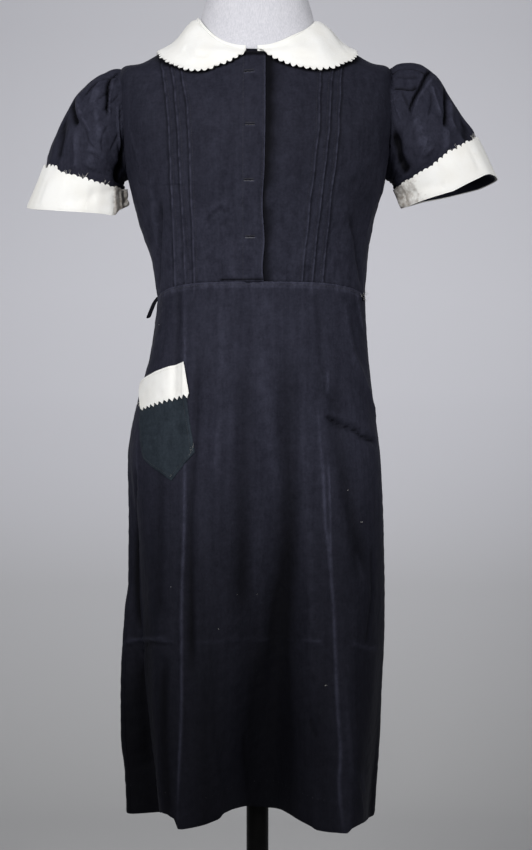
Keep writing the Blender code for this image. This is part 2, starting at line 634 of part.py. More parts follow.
def add_pocket(name, material):
    """The patch pocket, its sides sewn to the skirt, its foot pointed."""
    outer_foot, point, inner_foot = (POCKET[k][0] for k in ("foot outer", "foot point", "foot inner"))
    turn = (point - outer_foot) / (inner_foot - outer_foot)
    left = int(round(POCKET_COLUMNS * turn))
    near = np.linspace(0.0, turn, left + 1)
    far = np.linspace(turn, 1.0, POCKET_COLUMNS - left + 1)
    shares = np.concatenate([near, far[1:]])
    falls, shares = np.meshgrid(np.linspace(0.0, 1.0, POCKET_ROWS + 1), shares, indexing="ij")
    angle, fall = patch(POCKET, shares, falls)
    outer = moved_out(skirt, angle, fall, np.full_like(fall, -POCKET_LIFT - CLOTH))
    inner = moved_out(skirt, angle, fall, np.full_like(fall, -POCKET_LIFT))
    return add_wall(name, material, outer, inner)


def add_band(name, material):
    """The pocket's white band, over its mouth, its lower edge pinked."""
    fine = np.linspace(0.0, 1.0, 101)
    edge = skirt(*patch(BAND, fine, np.ones_like(fine)))
    teeth = teeth_for(edge, False)
    falls, shares = np.meshgrid(np.linspace(0.0, 1.0, 4), np.linspace(0.0, 1.0, teeth + 1), indexing="ij")
    angle, fall = patch(BAND, shares, falls)
    inner = moved_out(skirt, angle, fall, np.full_like(fall, -BAND_LIFT))
    outer = moved_out(skirt, angle, fall, np.full_like(fall, -BAND_LIFT - WHITE_CLOTH))
    middle = (np.arange(teeth) + 0.5) / teeth
    foot = skirt(*patch(BAND, middle, np.ones(teeth)))
    drop = np.linalg.norm(foot - skirt(*patch(BAND, middle, np.zeros(teeth))), axis=-1)
    angle, fall = patch(BAND, middle, 1.0 + TOOTH_DEPTH / drop)
    tips = (moved_out(skirt, angle, fall, np.full(teeth, -BAND_LIFT - WHITE_CLOTH)),
            moved_out(skirt, angle, fall, np.full(teeth, -BAND_LIFT)))
    return add_wall(name, material, outer, inner, tips=tips)


def add_tie(name, material):
    """The stub of tie that hangs from the waist seam: a flat strip along its line."""
    line = np.array(TIE_LINE)
    across = np.array(TIE_ACROSS) / np.linalg.norm(TIE_ACROSS)
    along = np.gradient(line, axis=0)
    depth = np.cross(along, across)
    depth = depth / np.linalg.norm(depth, axis=1, keepdims=True)
    corners = ((-1, -1), (1, -1), (1, 1), (-1, 1))
    rings = [line + 0.5 * TIE_WIDTH * a * across + 0.5 * TIE_THICKNESS * b * depth for a, b in corners]
    return add_tube(name, material, np.stack(rings, 1))


def add_tack(name, material):
    """The puckered end of the other tie, sewn flat to the waist seam."""
    place = np.radians(TACK_ANGLE), np.array(TACK_FALL)
    centre = moved_out(skirt, place[0], place[1], np.array(-TACK_RADIUS - 2.0 * SEAM))
    turns = np.arange(8) * pi / 4.0
    rings = []
    for climb in np.linspace(-0.4 * pi, 0.4 * pi, 5):
        radius, height = TACK_RADIUS * np.cos(climb), 1.6 * TACK_RADIUS * np.sin(climb)
        ring = [radius * np.cos(turns), radius * np.sin(turns), np.full(8, height)]
        rings.append(centre + np.stack(ring, -1))
    return add_tube(name, material, rings)


def form_ring(angles, left, right, side, front, front_z, back, back_z, square):
    """A level ring of the form."""
    x, y, share = oval(angles, left, right, front, back, square)
    z = level(share, side, np.where(np.sin(angles) > 0.0, front_z, back_z), NECK_HASTE)
    return np.stack([x, y, z], -1)


def add_form(material):
    """The padded body inside the dress, from below the hips to the top of its neck."""
    angles = np.arange(FORM_COLUMNS_AROUND) * 2.0 * pi / FORM_COLUMNS_AROUND
    rings = [form_ring(angles, left, right, z, front, z, back, z, square)
             for z, left, right, front, back, square in FORM_HIPS.values()]
    shoulder = [row for row in bodice_rows() if row > SHOULDER_ROW - 1]
    rows = np.concatenate([np.arange(WAIST_ROW, SHOULDER_ROW - 1), shoulder])
    for row in rows:
        ease = CLOTH + np.interp(row, range(len(FORM_EASE)), FORM_EASE)
        rings.append(moved_out(torso, angles, np.full_like(angles, row), np.full_like(angles, -ease)))
    for side, left, right, front, front_z, back, back_z, square in FORM_NECK.values():
        rings.append(form_ring(angles, left, right, side, front, front_z, back, back_z, square))
    return add_tube("form_body", material, rings)


def add_turned(name, material, profile, sides):
    """A solid turned from (radius, height) pairs, bottom to top."""
    angles = np.arange(sides) * 2.0 * pi / sides
    rings = [np.stack([r * np.cos(angles), r * np.sin(angles), np.full(sides, z)], -1) for r, z in profile]
    return add_tube(name, material, rings)


def main():
    """Clear the scene and make every piece."""
    for old in list(bpy.data.objects):
        bpy.data.objects.remove(old, do_unlink=True)
    finishes = {}
    for name, (colour, rough, metal) in MATERIALS.items():
        material = bpy.data.materials.new(name)
        material.use_nodes = True
        shader = material.node_tree.nodes["Principled BSDF"]
        shader.inputs["Base Color"].default_value = (*colour, 1.0)
        shader.inputs["Roughness"].default_value = rough
        shader.inputs["Metallic"].default_value = metal
        finishes[name] = material
    black, white = finishes["black_cotton"], finishes["white_cotton"]
    pole_foot = BASE_PROFILE[-1][1] + SEAM
    pole_top = FORM_HIPS["end"][0] - SEAM
    pieces = [
        add_front("bodice_front_right", black, -1),
        add_front("bodice_front_left", black, +1),
        add_back("bodice_back", black),
        add_skirt_panel("skirt_front", black, 0.0, pi, 36),
        add_skirt_panel("skirt_back", black, pi, 2.0 * pi, 24),
        add_sleeve("sleeve_right", black, -1),
        add_sleeve("sleeve_left", black, +1),
        add_cuff("cuff_right", white, -1),
        add_cuff("cuff_left", white, +1),
        add_collar("collar", white),
        add_pocket("pocket", black),
        add_band("pocket_flap", white),
        add_tie("tie_right", black),
        add_tack("tie_left", black),
        add_form(finishes["form_jersey"]),
        add_turned("form_base", finishes["black_enamel"], BASE_PROFILE, 32),
        add_turned("form_pole", finishes["black_enamel"],
                   ((POLE_RADIUS, pole_foot), (POLE_RADIUS, pole_top)), 24),
    ]
    stand = bpy.data.objects.new("uniform_on_form", None)
    bpy.context.scene.collection.objects.link(stand)
    for piece in pieces:
        piece.parent = stand


main()
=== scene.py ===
"""Look of the work uniform on its dress form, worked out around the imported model.

Everything is in metres in the model's own frame: +Z is up, the dress faces -Y,
and right and left are the wearer's. The bodice, the skirt and the sleeves are
the model's own surfaces, worked out from the same short tables. Folds, pressed
creases, tucks, pinked edges and stitches are added to them here.
"""

from functools import partial
from math import pi, radians

import bpy
import numpy as np
from numpy import concatenate, cos, interp, linspace, sin, stack
from bpy.props import FloatProperty, FloatVectorProperty, PointerProperty
from bpy.types import Operator, Panel, PropertyGroup
from mathutils import Matrix


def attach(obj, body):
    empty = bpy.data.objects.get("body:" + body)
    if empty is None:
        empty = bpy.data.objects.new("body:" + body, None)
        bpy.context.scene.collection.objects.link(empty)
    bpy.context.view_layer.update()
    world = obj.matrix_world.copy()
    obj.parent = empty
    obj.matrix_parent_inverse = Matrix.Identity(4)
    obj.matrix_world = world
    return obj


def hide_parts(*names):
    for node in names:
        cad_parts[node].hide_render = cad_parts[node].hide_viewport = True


bl_info = {
    "name": "Work Uniform on a Dress Form",
    "version": (1, 0, 0),
    "blender": (4, 5, 0),
    "location": "3D View > Sidebar > Uniform",
    "description": "Makes the cloth, stitching, form and stage of a short-sleeved work uniform",
    "category": "Object",
}

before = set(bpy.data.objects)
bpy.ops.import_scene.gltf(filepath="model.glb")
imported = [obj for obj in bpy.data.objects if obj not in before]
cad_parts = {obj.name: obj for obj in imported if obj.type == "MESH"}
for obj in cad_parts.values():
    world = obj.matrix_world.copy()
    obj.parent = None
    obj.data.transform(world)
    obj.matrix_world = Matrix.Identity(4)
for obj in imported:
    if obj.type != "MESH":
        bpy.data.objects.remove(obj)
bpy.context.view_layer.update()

# Thickness of the solids' walls, black and white, and of the thin cloth that is made here.
CLOTH = 0.0012
WHITE_CLOTH = 0.0015
SHEET = 0.0007
WHITE_SHEET = 0.0009
# Gap between two pieces, step at the placket, height of a tuck, and the pinked teeth.
SEAM = 0.0003
PLACKET_STEP = 0.0019
TUCK_RISE = 0.001
TOOTH_PITCH = 0.008
TOOTH_DEPTH = 0.0038
UP = np.array([0, 0, 1])
# Metres of cloth in a row of the bodice just above the waist, and in a row of the sleeve at its cuff.
WAIST_ROW_HEIGHT, CUFF_ROW = 0.053, 0.036
# Metres of cloth for a radian round the body, the form and the neck.
BODY_RADIUS, FORM_RADIUS, NECK_RADIUS = 0.165, 0.075, 0.08
# The strongest painted shade, and the half width of a pressed crease.
DARKEST_PAINTED_SHADE = 0.93
PRESSED_WIDTH = 0.0031

# The wearer's right lies towards -X and their left towards +X. A side is -1 or +1, in tables too.
SIDES = {-1: "right", 1: "left"}
SIDE_ANGLES = {-1: pi, 1: 0}


def read_numbers(text):
    """Rows of numbers from text, with commas between the rows."""
    return [tuple(map(float, row.split())) for row in text.split(",")]


def read_table(text):
    """A table from lines of text: each row's name, a colon and its numbers."""
    rows = (line.split(":") for line in text.strip().splitlines())
    return {name.strip(): tuple(map(float, numbers.split())) for name, numbers in rows if name.strip()}


# Bodice: a row for each section, from the waist up to the collar's roll. A
# section's side, front and back each lie at a height of their own.
# Columns: left, right, side height, front depth, front height, back depth,
# back height, squareness.
TORSO = read_table("""
waist: .151 .14 1.04 .108 1.055 .09 1.045 2.4
rib: .155 .15 1.095 .118 1.108 .098 1.1 2.4
under bust: .163 .167 1.145 .127 1.16 .107 1.155 2.5
bust: .176 .178 1.19 .131 1.205 .114 1.205 2.6
armhole low: .185 .187 1.235 .128 1.248 .118 1.25 2.8
armhole middle: .19 .192 1.285 .119 1.288 .117 1.292 3
armhole high: .19 .194 1.325 .108 1.316 .112 1.328 3
shoulder tip: .185 .19 1.36 .096 1.338 .102 1.358 2.9
mid shoulder: .158 .16 1.3685 .09 1.352 .09 1.38 2.6
by the collar: .12 .12 1.393 .084 1.366 .077 1.405 2.3
neck seam: .083 .083 1.418 .078 1.371 .064 1.424 2.1
collar roll: .082 .082 1.431 .0765 1.377 .066 1.446 2.1
""")
WAIST_ROW, SHOULDER_ROW, NECK_ROW, ROLL_ROW = 0, 8, 10, 11
# The neckline falls to the front more evenly than the sections below it.
NECK_HASTE = 1.35

# Soft folds of the bodice: angles in degrees from +X towards the front,
# heights as rows of the table above, depths into the body.
# Columns: low angle, high angle, half width, low row, high row, depth.
BODICE_FOLDS = read_table("""
right side fold: 160 145 7 .2 3.2 .005
right front fold: 140 133 6 .1 1.8 .0025
left side fold: 17 34 7 .2 3.2 .0055
left front fold: 38 44 6 .1 1.8 .0025
back right fold: 212 222 8 .2 3.4 .005
back left fold: 328 318 8 .2 3 .005
back slack: 268 272 14 .3 2.6 .004
""")

# Armholes: an oval on the torso, in table rows up and down and in degrees
# towards the front and back.
ARMHOLE_ROW = 5.2
ARMHOLE_HALF_ROWS = 1.86
ARMHOLE_HALF_ANGLE = 16.5
ARMHOLE_RADIUS = 0.06

# Tucks of the fronts. Columns: distance from the middle at the waist, at the
# bust and at the shoulder, which are these rows of the bodice.
TUCK_ROWS = (0, 4.2, 8)
TUCK_END_ROW = 8.2
TUCK_FADE_ROWS = 0.8
# No tuck comes nearer to the side than this share of the bodice's reach.
TUCK_LIMIT = 0.835
TUCK_LIMIT_STEP = 0.06
TUCKS = {
    -1: read_table("""
inner: .086 .092 .107
middle: .098 .107 .119
outer: .1125 .1195 .132
"""),
    +1: read_table("""
inner: .061 .0835 .0875
middle: .075 .098 .104
outer: .089 .111 .1165
"""),
}
# Columns of a front's grid follow each tuck's edge at these distances, and lie this close elsewhere.
TUCK_GUIDES = (-0.006, -0.003, -0.0014, -0.0006, 0, 0.0005, 0.0012, 0.0022)
FRONT_PITCH = 0.0023
# The under-front ends this far from the middle.
UNDER_EDGE = -0.018

# Sleeves: a row for each section from the shoulder to the hem. Each section
# is an oval between its outer point and the point at the underarm.
# Columns: outer x, outer z, inner x, inner z, half depth, front drop.
SLEEVES = {
    -1: read_table("""
armhole: -.19 1.358 -.18 1.206 .055 0
cap: -.204 1.359 -.185 1.204 .057 0
cap puff: -.229 1.348 -.1875 1.202 .064 0
puff: -.253 1.3235 -.189 1.2 .067 0
upper arm: -.27 1.294 -.1893 1.198 .066 0
lower arm: -.287 1.26 -.1885 1.1955 .062 .002
cuff top: -.299 1.225 -.1872 1.1915 .058 .006
hem: -.3225 1.1675 -.1845 1.1735 .056 .015
"""),
    +1: read_table("""
armhole: .185 1.36 .178 1.206 .055 0
cap: .2005 1.37 .183 1.2045 .057 0
cap puff: .229 1.366 .1865 1.2025 .064 0
puff: .252 1.35 .189 1.2005 .067 0
upper arm: .269 1.324 .1905 1.1985 .067 0
lower arm: .288 1.294 .1915 1.1955 .064 0
cuff top: .31 1.2615 .193 1.191 .059 0
hem: .336 1.205 .204 1.169 .057 .002
"""),
}
CUFF_TOP_ROW, SLEEVE_HEM_ROW = 6, 7
# Pleats let into the cap: turns are degrees from the top towards the front.
# Columns: turn at the cap, turn at the end, half width, reach in rows, depth.
PLEATS = read_table("""
front high: 24 20 12 2.6 .005
front: 52 62 13 4.2 .006
front low: 92 84 14 4.6 .0045
back high: -26 -22 12 3 .005
back: -58 -50 14 4.4 .0055
""")

# Skirt: a row for each level section from the waist to the hem.
# Columns: height, left, right, front depth, back depth, squareness.
SKIRT = read_table("""
waist: 1.045 .151 .14 .108 .09 2.4
high hip: .97 .1545 .1495 .115 .104 2.4
hip: .895 .1635 .1685 .122 .118 2.4
seat: .82 .1726 .1828 .126 .126 2.4
thigh: .7 .1782 .183 .129 .127 2.6
low thigh: .6 .1796 .1865 .132 .125 2.7
knee: .5 .1772 .1922 .135 .125 2.8
low knee: .4 .1725 .1905 .137 .126 2.9
hem: .311 .167 .1865 .138 .128 3
""")
SKIRT_LENGTH = SKIRT["waist"][0] - SKIRT["hem"][0]
# Folds of the skirt. Each moves the cloth by its full shift at the hem, and
# less further up, by the power given, to nothing where it starts. It fades
# over its reach before and after its own line, in degrees.
# Columns: angle at the top, angle at the hem, reach before, reach after,
# height of the start, power, shift in x, shift in y, rise of the hem.
SKIRT_RADIUS = 0.16
SKIRT_FOLDS = read_table("""
centre recess: 70 88 24 24 .93 1.6 0 .102 .019
right front ease: 132 130 16 16 .9 1 0 .018 0
right side fold: 173 169 26 8 .86 1 .052 .034 .002
left front ridge: 52 49 13 13 .9 1 .008 -.01 0
left side fold: 12 18 14 15 .8 1.2 -.008 .034 .001
back right fold: 222 226 12 15 .88 1.3 .01 -.03 .003
back fold: 262 270 17 15 .92 1.5 0 -.045 .006
back left fold: 318 312 14 12 .86 1.2 -.012 -.032 .003
""")

# Collar: a row for each point that its edge is drawn through, from the front
# end on the wearer's right round the back. Angles are in degrees, and the
# edge's row is a row of the bodice table.
# Columns: angle at the roll, angle at the edge, row at the edge.
COLLAR = read_table("""
right end: 101.3 101 8.95
right front 1: 110 111.1 8.3
right front 2: 119 120.5 7.72
right point: 127 127.5 7.18
right front 3: 137 136 7.2
right shoulder 1: 147 145 7.74
right shoulder 2: 160 158 8.3
right shoulder: 180 180 8.55
back right: 225 225 7.95
back middle: 270 270 7.6
back left: 315 315 7.95
left shoulder: 360 360 8.6
left shoulder 2: 379 378.2 8.32
left shoulder 1: 392 391 7.95
left front 4: 400 398.4 7.48
left point: 408 407.2 7.3
left front 3: 418 418.4 7.6
left front 2: 430 431 8.2
left end: 449.8 442 8.98
""")
COLLAR_LIFT = 0.0017
COLLAR_PLACKET_LIFT = 0.0018
# Past its roll the collar arches out and up, most at this share of its width.
COLLAR_ARCH_WIDTH = 0.24
COLLAR_SPREAD, COLLAR_LEFT_SPREAD = 0.01, 0.007
COLLAR_RISE = 0.0052
# At the wearer's left the roll lies lower at the side, in rows, and higher in front.
COLLAR_LEFT_DIP = 0.34
COLLAR_LEFT_RISE = 0.0075
# The black facing inside the collar: its ends in degrees, its height, its distance
# inside the roll and how far it peeps over the roll.
FACING_ENDS = (81.7, 450)
FACING_HEIGHT, FACING_INSET, FACING_PEEP = 0.011, 0.0025, 0.0016
COLLAR_WIDTH_POWER = 0.6

# Pocket and its band: corners as an angle on the skirt, in degrees, and a fall
# from the waist as a share of the skirt's length. Outer is towards the side.
# Columns: angle, fall.
POCKET = read_table("""
top outer: 164.5 .19
top inner: 133.6 .165
foot outer: 155 .3165
foot point: 137.6 .358
foot inner: 126.1 .306
""")
BAND = read_table("""
top outer: 170.4 .1677
top inner: 134.4 .143
low outer: 158.8 .2253
low inner: 129.7 .2028
""")
# The pocket's foot comes to its point at this share of its width.
POCKET_TURN = (POCKET["foot point"][0] - POCKET["foot outer"][0]) / (
    POCKET["foot inner"][0] - POCKET["foot outer"][0])
POCKET_LIFT, BAND_LIFT = 0.0006, 0.0024
# Their sizes on the flat cloth.
POCKET_WIDTH, BAND_WIDTH, BAND_DEPTH = 0.08, 0.082, 0.041

# Ties at the waist's side seams: the middle line of the stub, as x, y, z.
TIE_WIDTH = 0.0085
TIE_THICKNESS = 0.002
TIE_LINE = ((-0.1385, -0.006, 1.0405), (-0.1445, -0.0052, 1.0325), (-0.149, -0.004, 1.0225),
            (-0.152, -0.003, 1.015), (-0.1536, -0.002, 1.0105))
TIE_ACROSS = (0.72, -0.66, 0.22)
TACK_ANGLE, TACK_FALL = 15, 0.008
TACK_RADIUS = 0.003

# Form, pole and base. The form lies this far inside the cloth, a value for
# each row of the bodice up to the neck seam.
FORM_EASE = (0.008, 0.009, 0.0075, 0.0065, 0.006, 0.0055, 0.0045, 0.003, 0.0011, 0.0015, 0.0024)
# Columns: height, left, right, front depth, back depth, squareness.
FORM_HIPS = read_table("""
end: .795 .15 .15 .098 .1 2.4
seat: .83 .156 .16 .106 .11 2.4
hip: .895 .15 .155 .106 .105 2.4
high hip: .97 .14 .137 .101 .092 2.4
""")
# Columns: side height, left, right, front depth, front height, back depth,
# back height, squareness.
FORM_NECK = read_table("""
neck base: 1.429 .0792 .0792 .069 1.39 .059 1.436 2.1
neck low: 1.441 .0765 .0765 .063 1.422 .059 1.449 2.1
neck: 1.459 .0712 .0712 .06 1.457 .059 1.462 2.1
neck top: 1.492 .065 .065 .057 1.492 .057 1.494 2.1
top edge: 1.5 .058 .058 .05 1.5 .05 1.5 2.1
""")
POLE_RADIUS = 0.0155
BASE_RADIUS = 0.165
# Columns: radius, height.
BASE_PROFILE = ((BASE_RADIUS, 0), (BASE_RADIUS, 0.007), (0.16, 0.011), (0.06, 0.016),
                (0.03, 0.024), (0.026, 0.03), (0.026, 0.055))


def read_rows(table, at):
    """Read a table or a list at fractional rows, on a smooth curve through its rows."""
    rows = np.array(list(table.values()) if isinstance(table, dict) else table, float)
    last = len(rows) - 1
    at = np.asarray(at, float)
    low = np.clip(np.floor(at).astype(int), 0, last - 1)
    f = (at - low)[..., None]
    before, here, after, beyond = (rows[np.clip(low + k, 0, last)] for k in (-1, 0, 1, 2))
    slope = (after - before) * f
    bend = (2 * before - 5 * here + 4 * after - beyond) * f ** 2
    turn = (3 * here - before - 3 * after + beyond) * f ** 3
    return 0.5 * (2 * here + slope + bend + turn)


def read_columns(table, at):
    """Each column of a table at fractional rows."""
    return np.moveaxis(read_rows(table, at), -1, 0)


def around(count):
    """Angles spaced evenly round a circle."""
    return np.arange(count) * 2 * pi / count


def hold(value):
    """A value held between 0 and 1."""
    return np.clip(value, 0, 1)


def last_part(share):
    """0 over most of the way to an edge, and growing to 1 at it."""
    return hold((share - 0.84) / 0.16) ** 2


def unit(vectors):
    """Vectors made one long."""
    return vectors / np.linalg.norm(vectors, axis=-1, keepdims=True)


def run_along(points):
    """Length from a line's first point to each of its points."""
    return concatenate([[0], np.cumsum(np.linalg.norm(np.diff(points, axis=0), axis=1))])


def grid_cells(index):
    """Faces of four between the neighbours of a grid of point numbers."""
    return stack([index[:-1, :-1], index[:-1, 1:], index[1:, 1:], index[1:, :-1]], -1).reshape(-1, 4)


def oval(angle, left, right, front, back, squareness):
    """Point of an oval with its own reach on each side, and how far front or back it is."""
    c, s = cos(angle), sin(angle)
    across = np.where(c > 0, left, right)
    deep = np.where(s > 0, front, back)
    radius = (np.abs(c / across) ** squareness + np.abs(s / deep) ** squareness) ** (-1 / squareness)
    return radius * c, -radius * s, np.abs(radius * s) / deep


def level(share, side, middle, haste=2):
    """Height of a section, which leaves the side's height and settles at the middle's."""
    return side + (middle - side) * (1 - hold(1 - share ** 2) ** haste)


def bell(offset, width):
    """A smooth hump, 1 at its line and about 0 at twice its width."""
    return np.exp(-(offset / width) ** 2)


def torso(angle, row):
    """The bodice's outer surface: angle in radians, row of the bodice table."""
    angle, row = np.broadcast_arrays(np.asarray(angle, float), np.asarray(row, float))
    left, right, side, front, front_z, back, back_z, square = read_columns(TORSO, row)
    x, y, share = oval(angle, left, right, front, back, square)
    haste = interp(row, (SHOULDER_ROW, NECK_ROW), (2, NECK_HASTE))
    z = level(share, side, np.where(sin(angle) > 0, front_z, back_z), haste)
    turn = np.degrees(angle) % 360
    for low, high, width, low_row, high_row, depth in BODICE_FOLDS.values():
        along = hold((row - low_row) / (high_row - low_row))
        amount = depth * sin(pi * along) * bell(turn - (low + (high - low) * along), width)
        x = x - amount * cos(angle)
        y = y + amount * sin(angle)
    return stack([x, y, z], -1)


def skirt(angle, fall):
    """The skirt's outer surface: angle in radians, fall from 0 at the waist to 1 at the hem."""
    angle, fall = np.broadcast_arrays(np.asarray(angle, float), np.asarray(fall, float))
    heights = [row[0] for row in SKIRT.values()]
    nominal = heights[0] + (heights[-1] - heights[0]) * fall
    at = interp(-nominal, [-h for h in heights], range(len(heights)))
    _, left, right, front, back, square = read_columns(SKIRT, at)
    x, y, _ = oval(angle, left, right, front, back, square)
    z = nominal + (torso(angle, WAIST_ROW)[..., 2] - 2 * SEAM - heights[0]) * (1 - fall) ** 3
    turn = np.degrees(angle) % 360
    for top, hem, before, after, start, power, dx, dy, rise in SKIRT_FOLDS.values():
        growth = hold((start - nominal) / (start - heights[-1])) ** power
        off = (turn - (top + (hem - top) * fall) + 180) % 360 - 180
        amount = growth * bell(off, np.where(off < 0, before, after))
        x = x + dx * amount
        y = y + dy * amount
        z = z + rise * amount * fall
    return stack([x, y, z], -1)


def side_reach(side, row):
    """How far the bodice reaches out at a side."""
    return read_rows(TORSO, row)[..., 1 if side < 0 else 0]


def armhole(side, turn):
    """Angle and row of an armhole's edge; turn is 0 at the top and grows to the front."""
    angle = SIDE_ANGLES[side] + side * radians(ARMHOLE_HALF_ANGLE) * sin(turn)
    return angle, ARMHOLE_ROW + ARMHOLE_HALF_ROWS * cos(turn)


def sleeve(side, turn, row):
    """A sleeve's outer surface: turn in radians from the top to the front, row of its table."""
    turn, row = np.broadcast_arrays(np.asarray(turn, float), np.asarray(row, float))
    table = SLEEVES[side]

    def plain(at):
        ox, oz, ix, iz, deep, drop = read_columns(table, at)
        c, s = cos(turn), sin(turn)
        x = 0.5 * (ox + ix) + 0.5 * (ox - ix) * c
        z = 0.5 * (oz + iz) + 0.5 * (oz - iz) * c - drop * s
        return stack([x, -deep * s, z], -1)

    hole = torso(*armhole(side, turn))
    centre = 0.5 * (torso(*armhole(side, 0)) + torso(*armhole(side, pi)))
    hole = hole - (hole - centre) * (3.5 * SEAM / ARMHOLE_RADIUS)
    near = hold(1 - row / 2)[..., None] ** 2
    point = plain(row) + near * (hole - plain(0 * row))
    ox, oz, ix, iz, _, _ = read_columns(table, row)
    inward = unit(stack([0.5 * (ox + ix), 0 * turn, 0.5 * (oz + iz)], -1) - point)
    degrees = (np.degrees(turn) + 180) % 360 - 180
    for cap, end, width, reach, depth in PLEATS.values():
        along = hold(row / reach)
        fade = sin(pi * along ** 0.6)
        amount = depth * fade * bell(degrees - (cap + (end - cap) * along), width)
        point = point + amount[..., None] * inward
    return point


def moved_out(surface, u, v, distance):
    """Points of surface(u, v) moved along its outward normal by distance."""
    step = 1e-4
    across = surface(u + step, v) - surface(u - step, v)
    along = surface(u, v + step) - surface(u, v - step)
    normal = unit(np.cross(along, across))
    return surface(u, v) + normal * np.asarray(distance)[..., None]


def read_creases(text):
    """Creases from lines of text: height and half width in mm, any lean, then points. Words are headings."""
    creases = []
    for line in text.replace("\n  ", " ").splitlines():
        if line and not line[0].isalpha():
            (height, width, *lean), *points = read_numbers(line)
            creases.append((0.001 * height, 0.001 * width, *(lean or (0,)), *points))
    return creases


# Creases, listed one by one. Each is a smooth line. A positive height is a ridge,
# a negative one a trough, and a positive lean makes the side to the left of
# the line's run the gentler one. A point is an angle in degrees and a height.
SKIRT_CREASES = read_creases("""
front
1.9 2.4 .2, 141 1.07, 139.5 1.041, 132.5 .894, 130.3 .759, 130.8 .623, 129.8 .488,
  130.3 .438, 131.5 .379, 132.8 .29
4.6 20, 181 .64, 181 .57, 181 .5, 181 .43, 181 .37
-3 6, 126.5 .99, 127 .93, 126 .85, 127.5 .76, 127 .68, 126 .6, 125 .5
-3.6 13, 43 .93, 44 .853, 40 .76, 36 .7, 34 .64
-2.6 6, 144.5 1.065, 143.8 1.039, 142 .989, 140.2 .949, 137 .88
1.8 2.6 -.2, 54.5 .9, 54 .858, 53.2 .799, 53 .733, 52 .687, 51 .63, 50.8 .562,
  50.7 .489, 49.8 .418, 50.8 .369, 48 .29
1.2 2, 49.8 .82, 50.2 .74, 50.8 .689, 51 .65
1.7 5 .3, 117.6 .61, 117.2 .57, 115.8 .509, 114.5 .438, 111.3 .373, 109 .29
-4.6 18, 67.5 1, 70.5 .93, 72 .853, 71.5 .76, 73 .68, 77 .6, 80 .51, 80 .43,
  80 .36, 80 .28
-3.4 15, 99 .96, 97.5 .888, 98 .786, 98 .678, 98 .59
-1.4 3 .4, 97.6 .445, 97 .421, 94.8 .37, 92.5 .336, 91.5 .29
3.4 9, 116 1.07, 115.5 1.03, 112 .92, 113.2 .827, 114 .76
2.2 12, 86.5 1.07, 86.5 1.029, 86.8 .948, 82 .84, 78.7 .799, 76 .74
-1.6 8, 49.8 1.06, 49.8 1.03, 50 .948, 53 .88
-6.6 5 .5, 162 .81, 163.7 .773, 173.7 .702, 174.7 .631, 173 .558
-5.4 5 .5, 171 .535, 171 .506, 170.7 .441, 171.2 .388, 160 .34
-2.2 10, 139.5 .56, 140.7 .459, 139.8 .35, 139.5 .29
-1.8 9.5, 144 .82, 145 .676, 143.3 .58
3.6 10, 61.7 .87, 61.3 .732, 60.7 .596, 60.2 .46
2.4 12, 89.5 .8, 87.2 .622, 83.8 .44
level storage creases
1.6 2.4 .3, 186 .552, 173.8 .559, 146.8 .569, 133 .566
-1.8 2.8, 186 .545, 173.8 .553, 146.8 .563, 133 .56
.4 2.2, 129 .563, 105.5 .57, 84 .567, 66.3 .568
1 2.2, 66 .567, 60.8 .569, 55.5 .566
1 2.6, 44 .567, 32.8 .557, 18 .549
-2.6 3.4, 154 .56, 162 .552, 174 .536
wearer's left hip and side
-5 3.4 .4, 52 .875, 50.3 .873, 41.7 .862, 31.3 .851, 26.7 .843, 13 .838
2 4, 48 .881, 41 .872, 31.3 .861, 20 .852
-1.3 2.6, 49 .903, 44.7 .894, 40.5 .893
1.2 2.4, 47 .936, 47.4 .917, 48 .9
3 6.2 .2, 33.5 1.035, 31.5 1, 28.7 .957, 22 .925, 12 .886, 5 .857
2 4.2, 36.8 .69, 33.7 .656, 29 .628
-1.8 3, 26 .7, 27 .668, 28 .621, 33.5 .552
-1.2 2.4, 62.8 .464, 61.2 .45, 59.2 .434
1.6 5 .2, 46 .52, 43.5 .408, 36.7 .351, 34 .3
1.2 2.4, 38.5 .388, 35 .37, 31.8 .354
right hip, under the tack
1 1.7, 160.7 .853, 160.9 .815, 160.7 .78
1.8 3, 21.5 1.042, 19.5 1.015, 17 .985
back
1.9 2.6 .2, 226 1.07, 228 .96, 231 .78, 230 .6, 231 .43, 229 .29
1.7 2.8 -.2, 314 .93, 312 .8, 310 .64, 311 .47, 309 .29
-4 15, 263 .98, 265 .83, 268 .64, 267 .42, 268 .27
-3.2 12, 243 .9, 244 .74, 241 .56, 243 .42
-3.4 13, 291 .85, 292 .69, 294 .52, 293 .27
2 10, 250 1.07, 251 .96, 255 .83
2.2 11, 284 1.07, 283 .97, 280 .86, 279 .79
1.8 8, 333 1.06, 336 .97, 344 .88
-2.2 7, 211 1.06, 209 .99, 204 .92
.9 2.2, 189 .552, 206 .56, 238 .567
.8 2.2, 262 .569, 290 .565, 318 .568
.9 2.4, 330 .562, 345 .553, 359 .549
-1.8 4, 240 .842, 255 .832, 272 .838, 287 .85
-1.4 3.4, 281 .45, 277 .4, 279 .35
sides
2.6 6, 197 .96, 193 .85, 194 .74
-3.4 7.5, 206 .72, 208 .6, 205 .48, 207 .33
-3.4 8, 343 .76, 345 .62, 341 .47, 343 .29
-1.6 3.6, 352 .93, 340 .91, 327 .915
""")
# Painted shade on parts of the skirt between its low folds, painted lighter where an amount is below 0.
# Columns: angle, half width in degrees, height that it starts under, amount.
SKIRT_SHADE_PATCHES = read_numbers("""
84 12 .66 .4, 172 12 .6 .3, 158 8 .7 .22, 117 8 .68 .12, 14 10 .6 .1, 46 5 .62 -.16, 268 13 .66 .35,
205 9 .6 .2, 340 9 .6 .2
""")
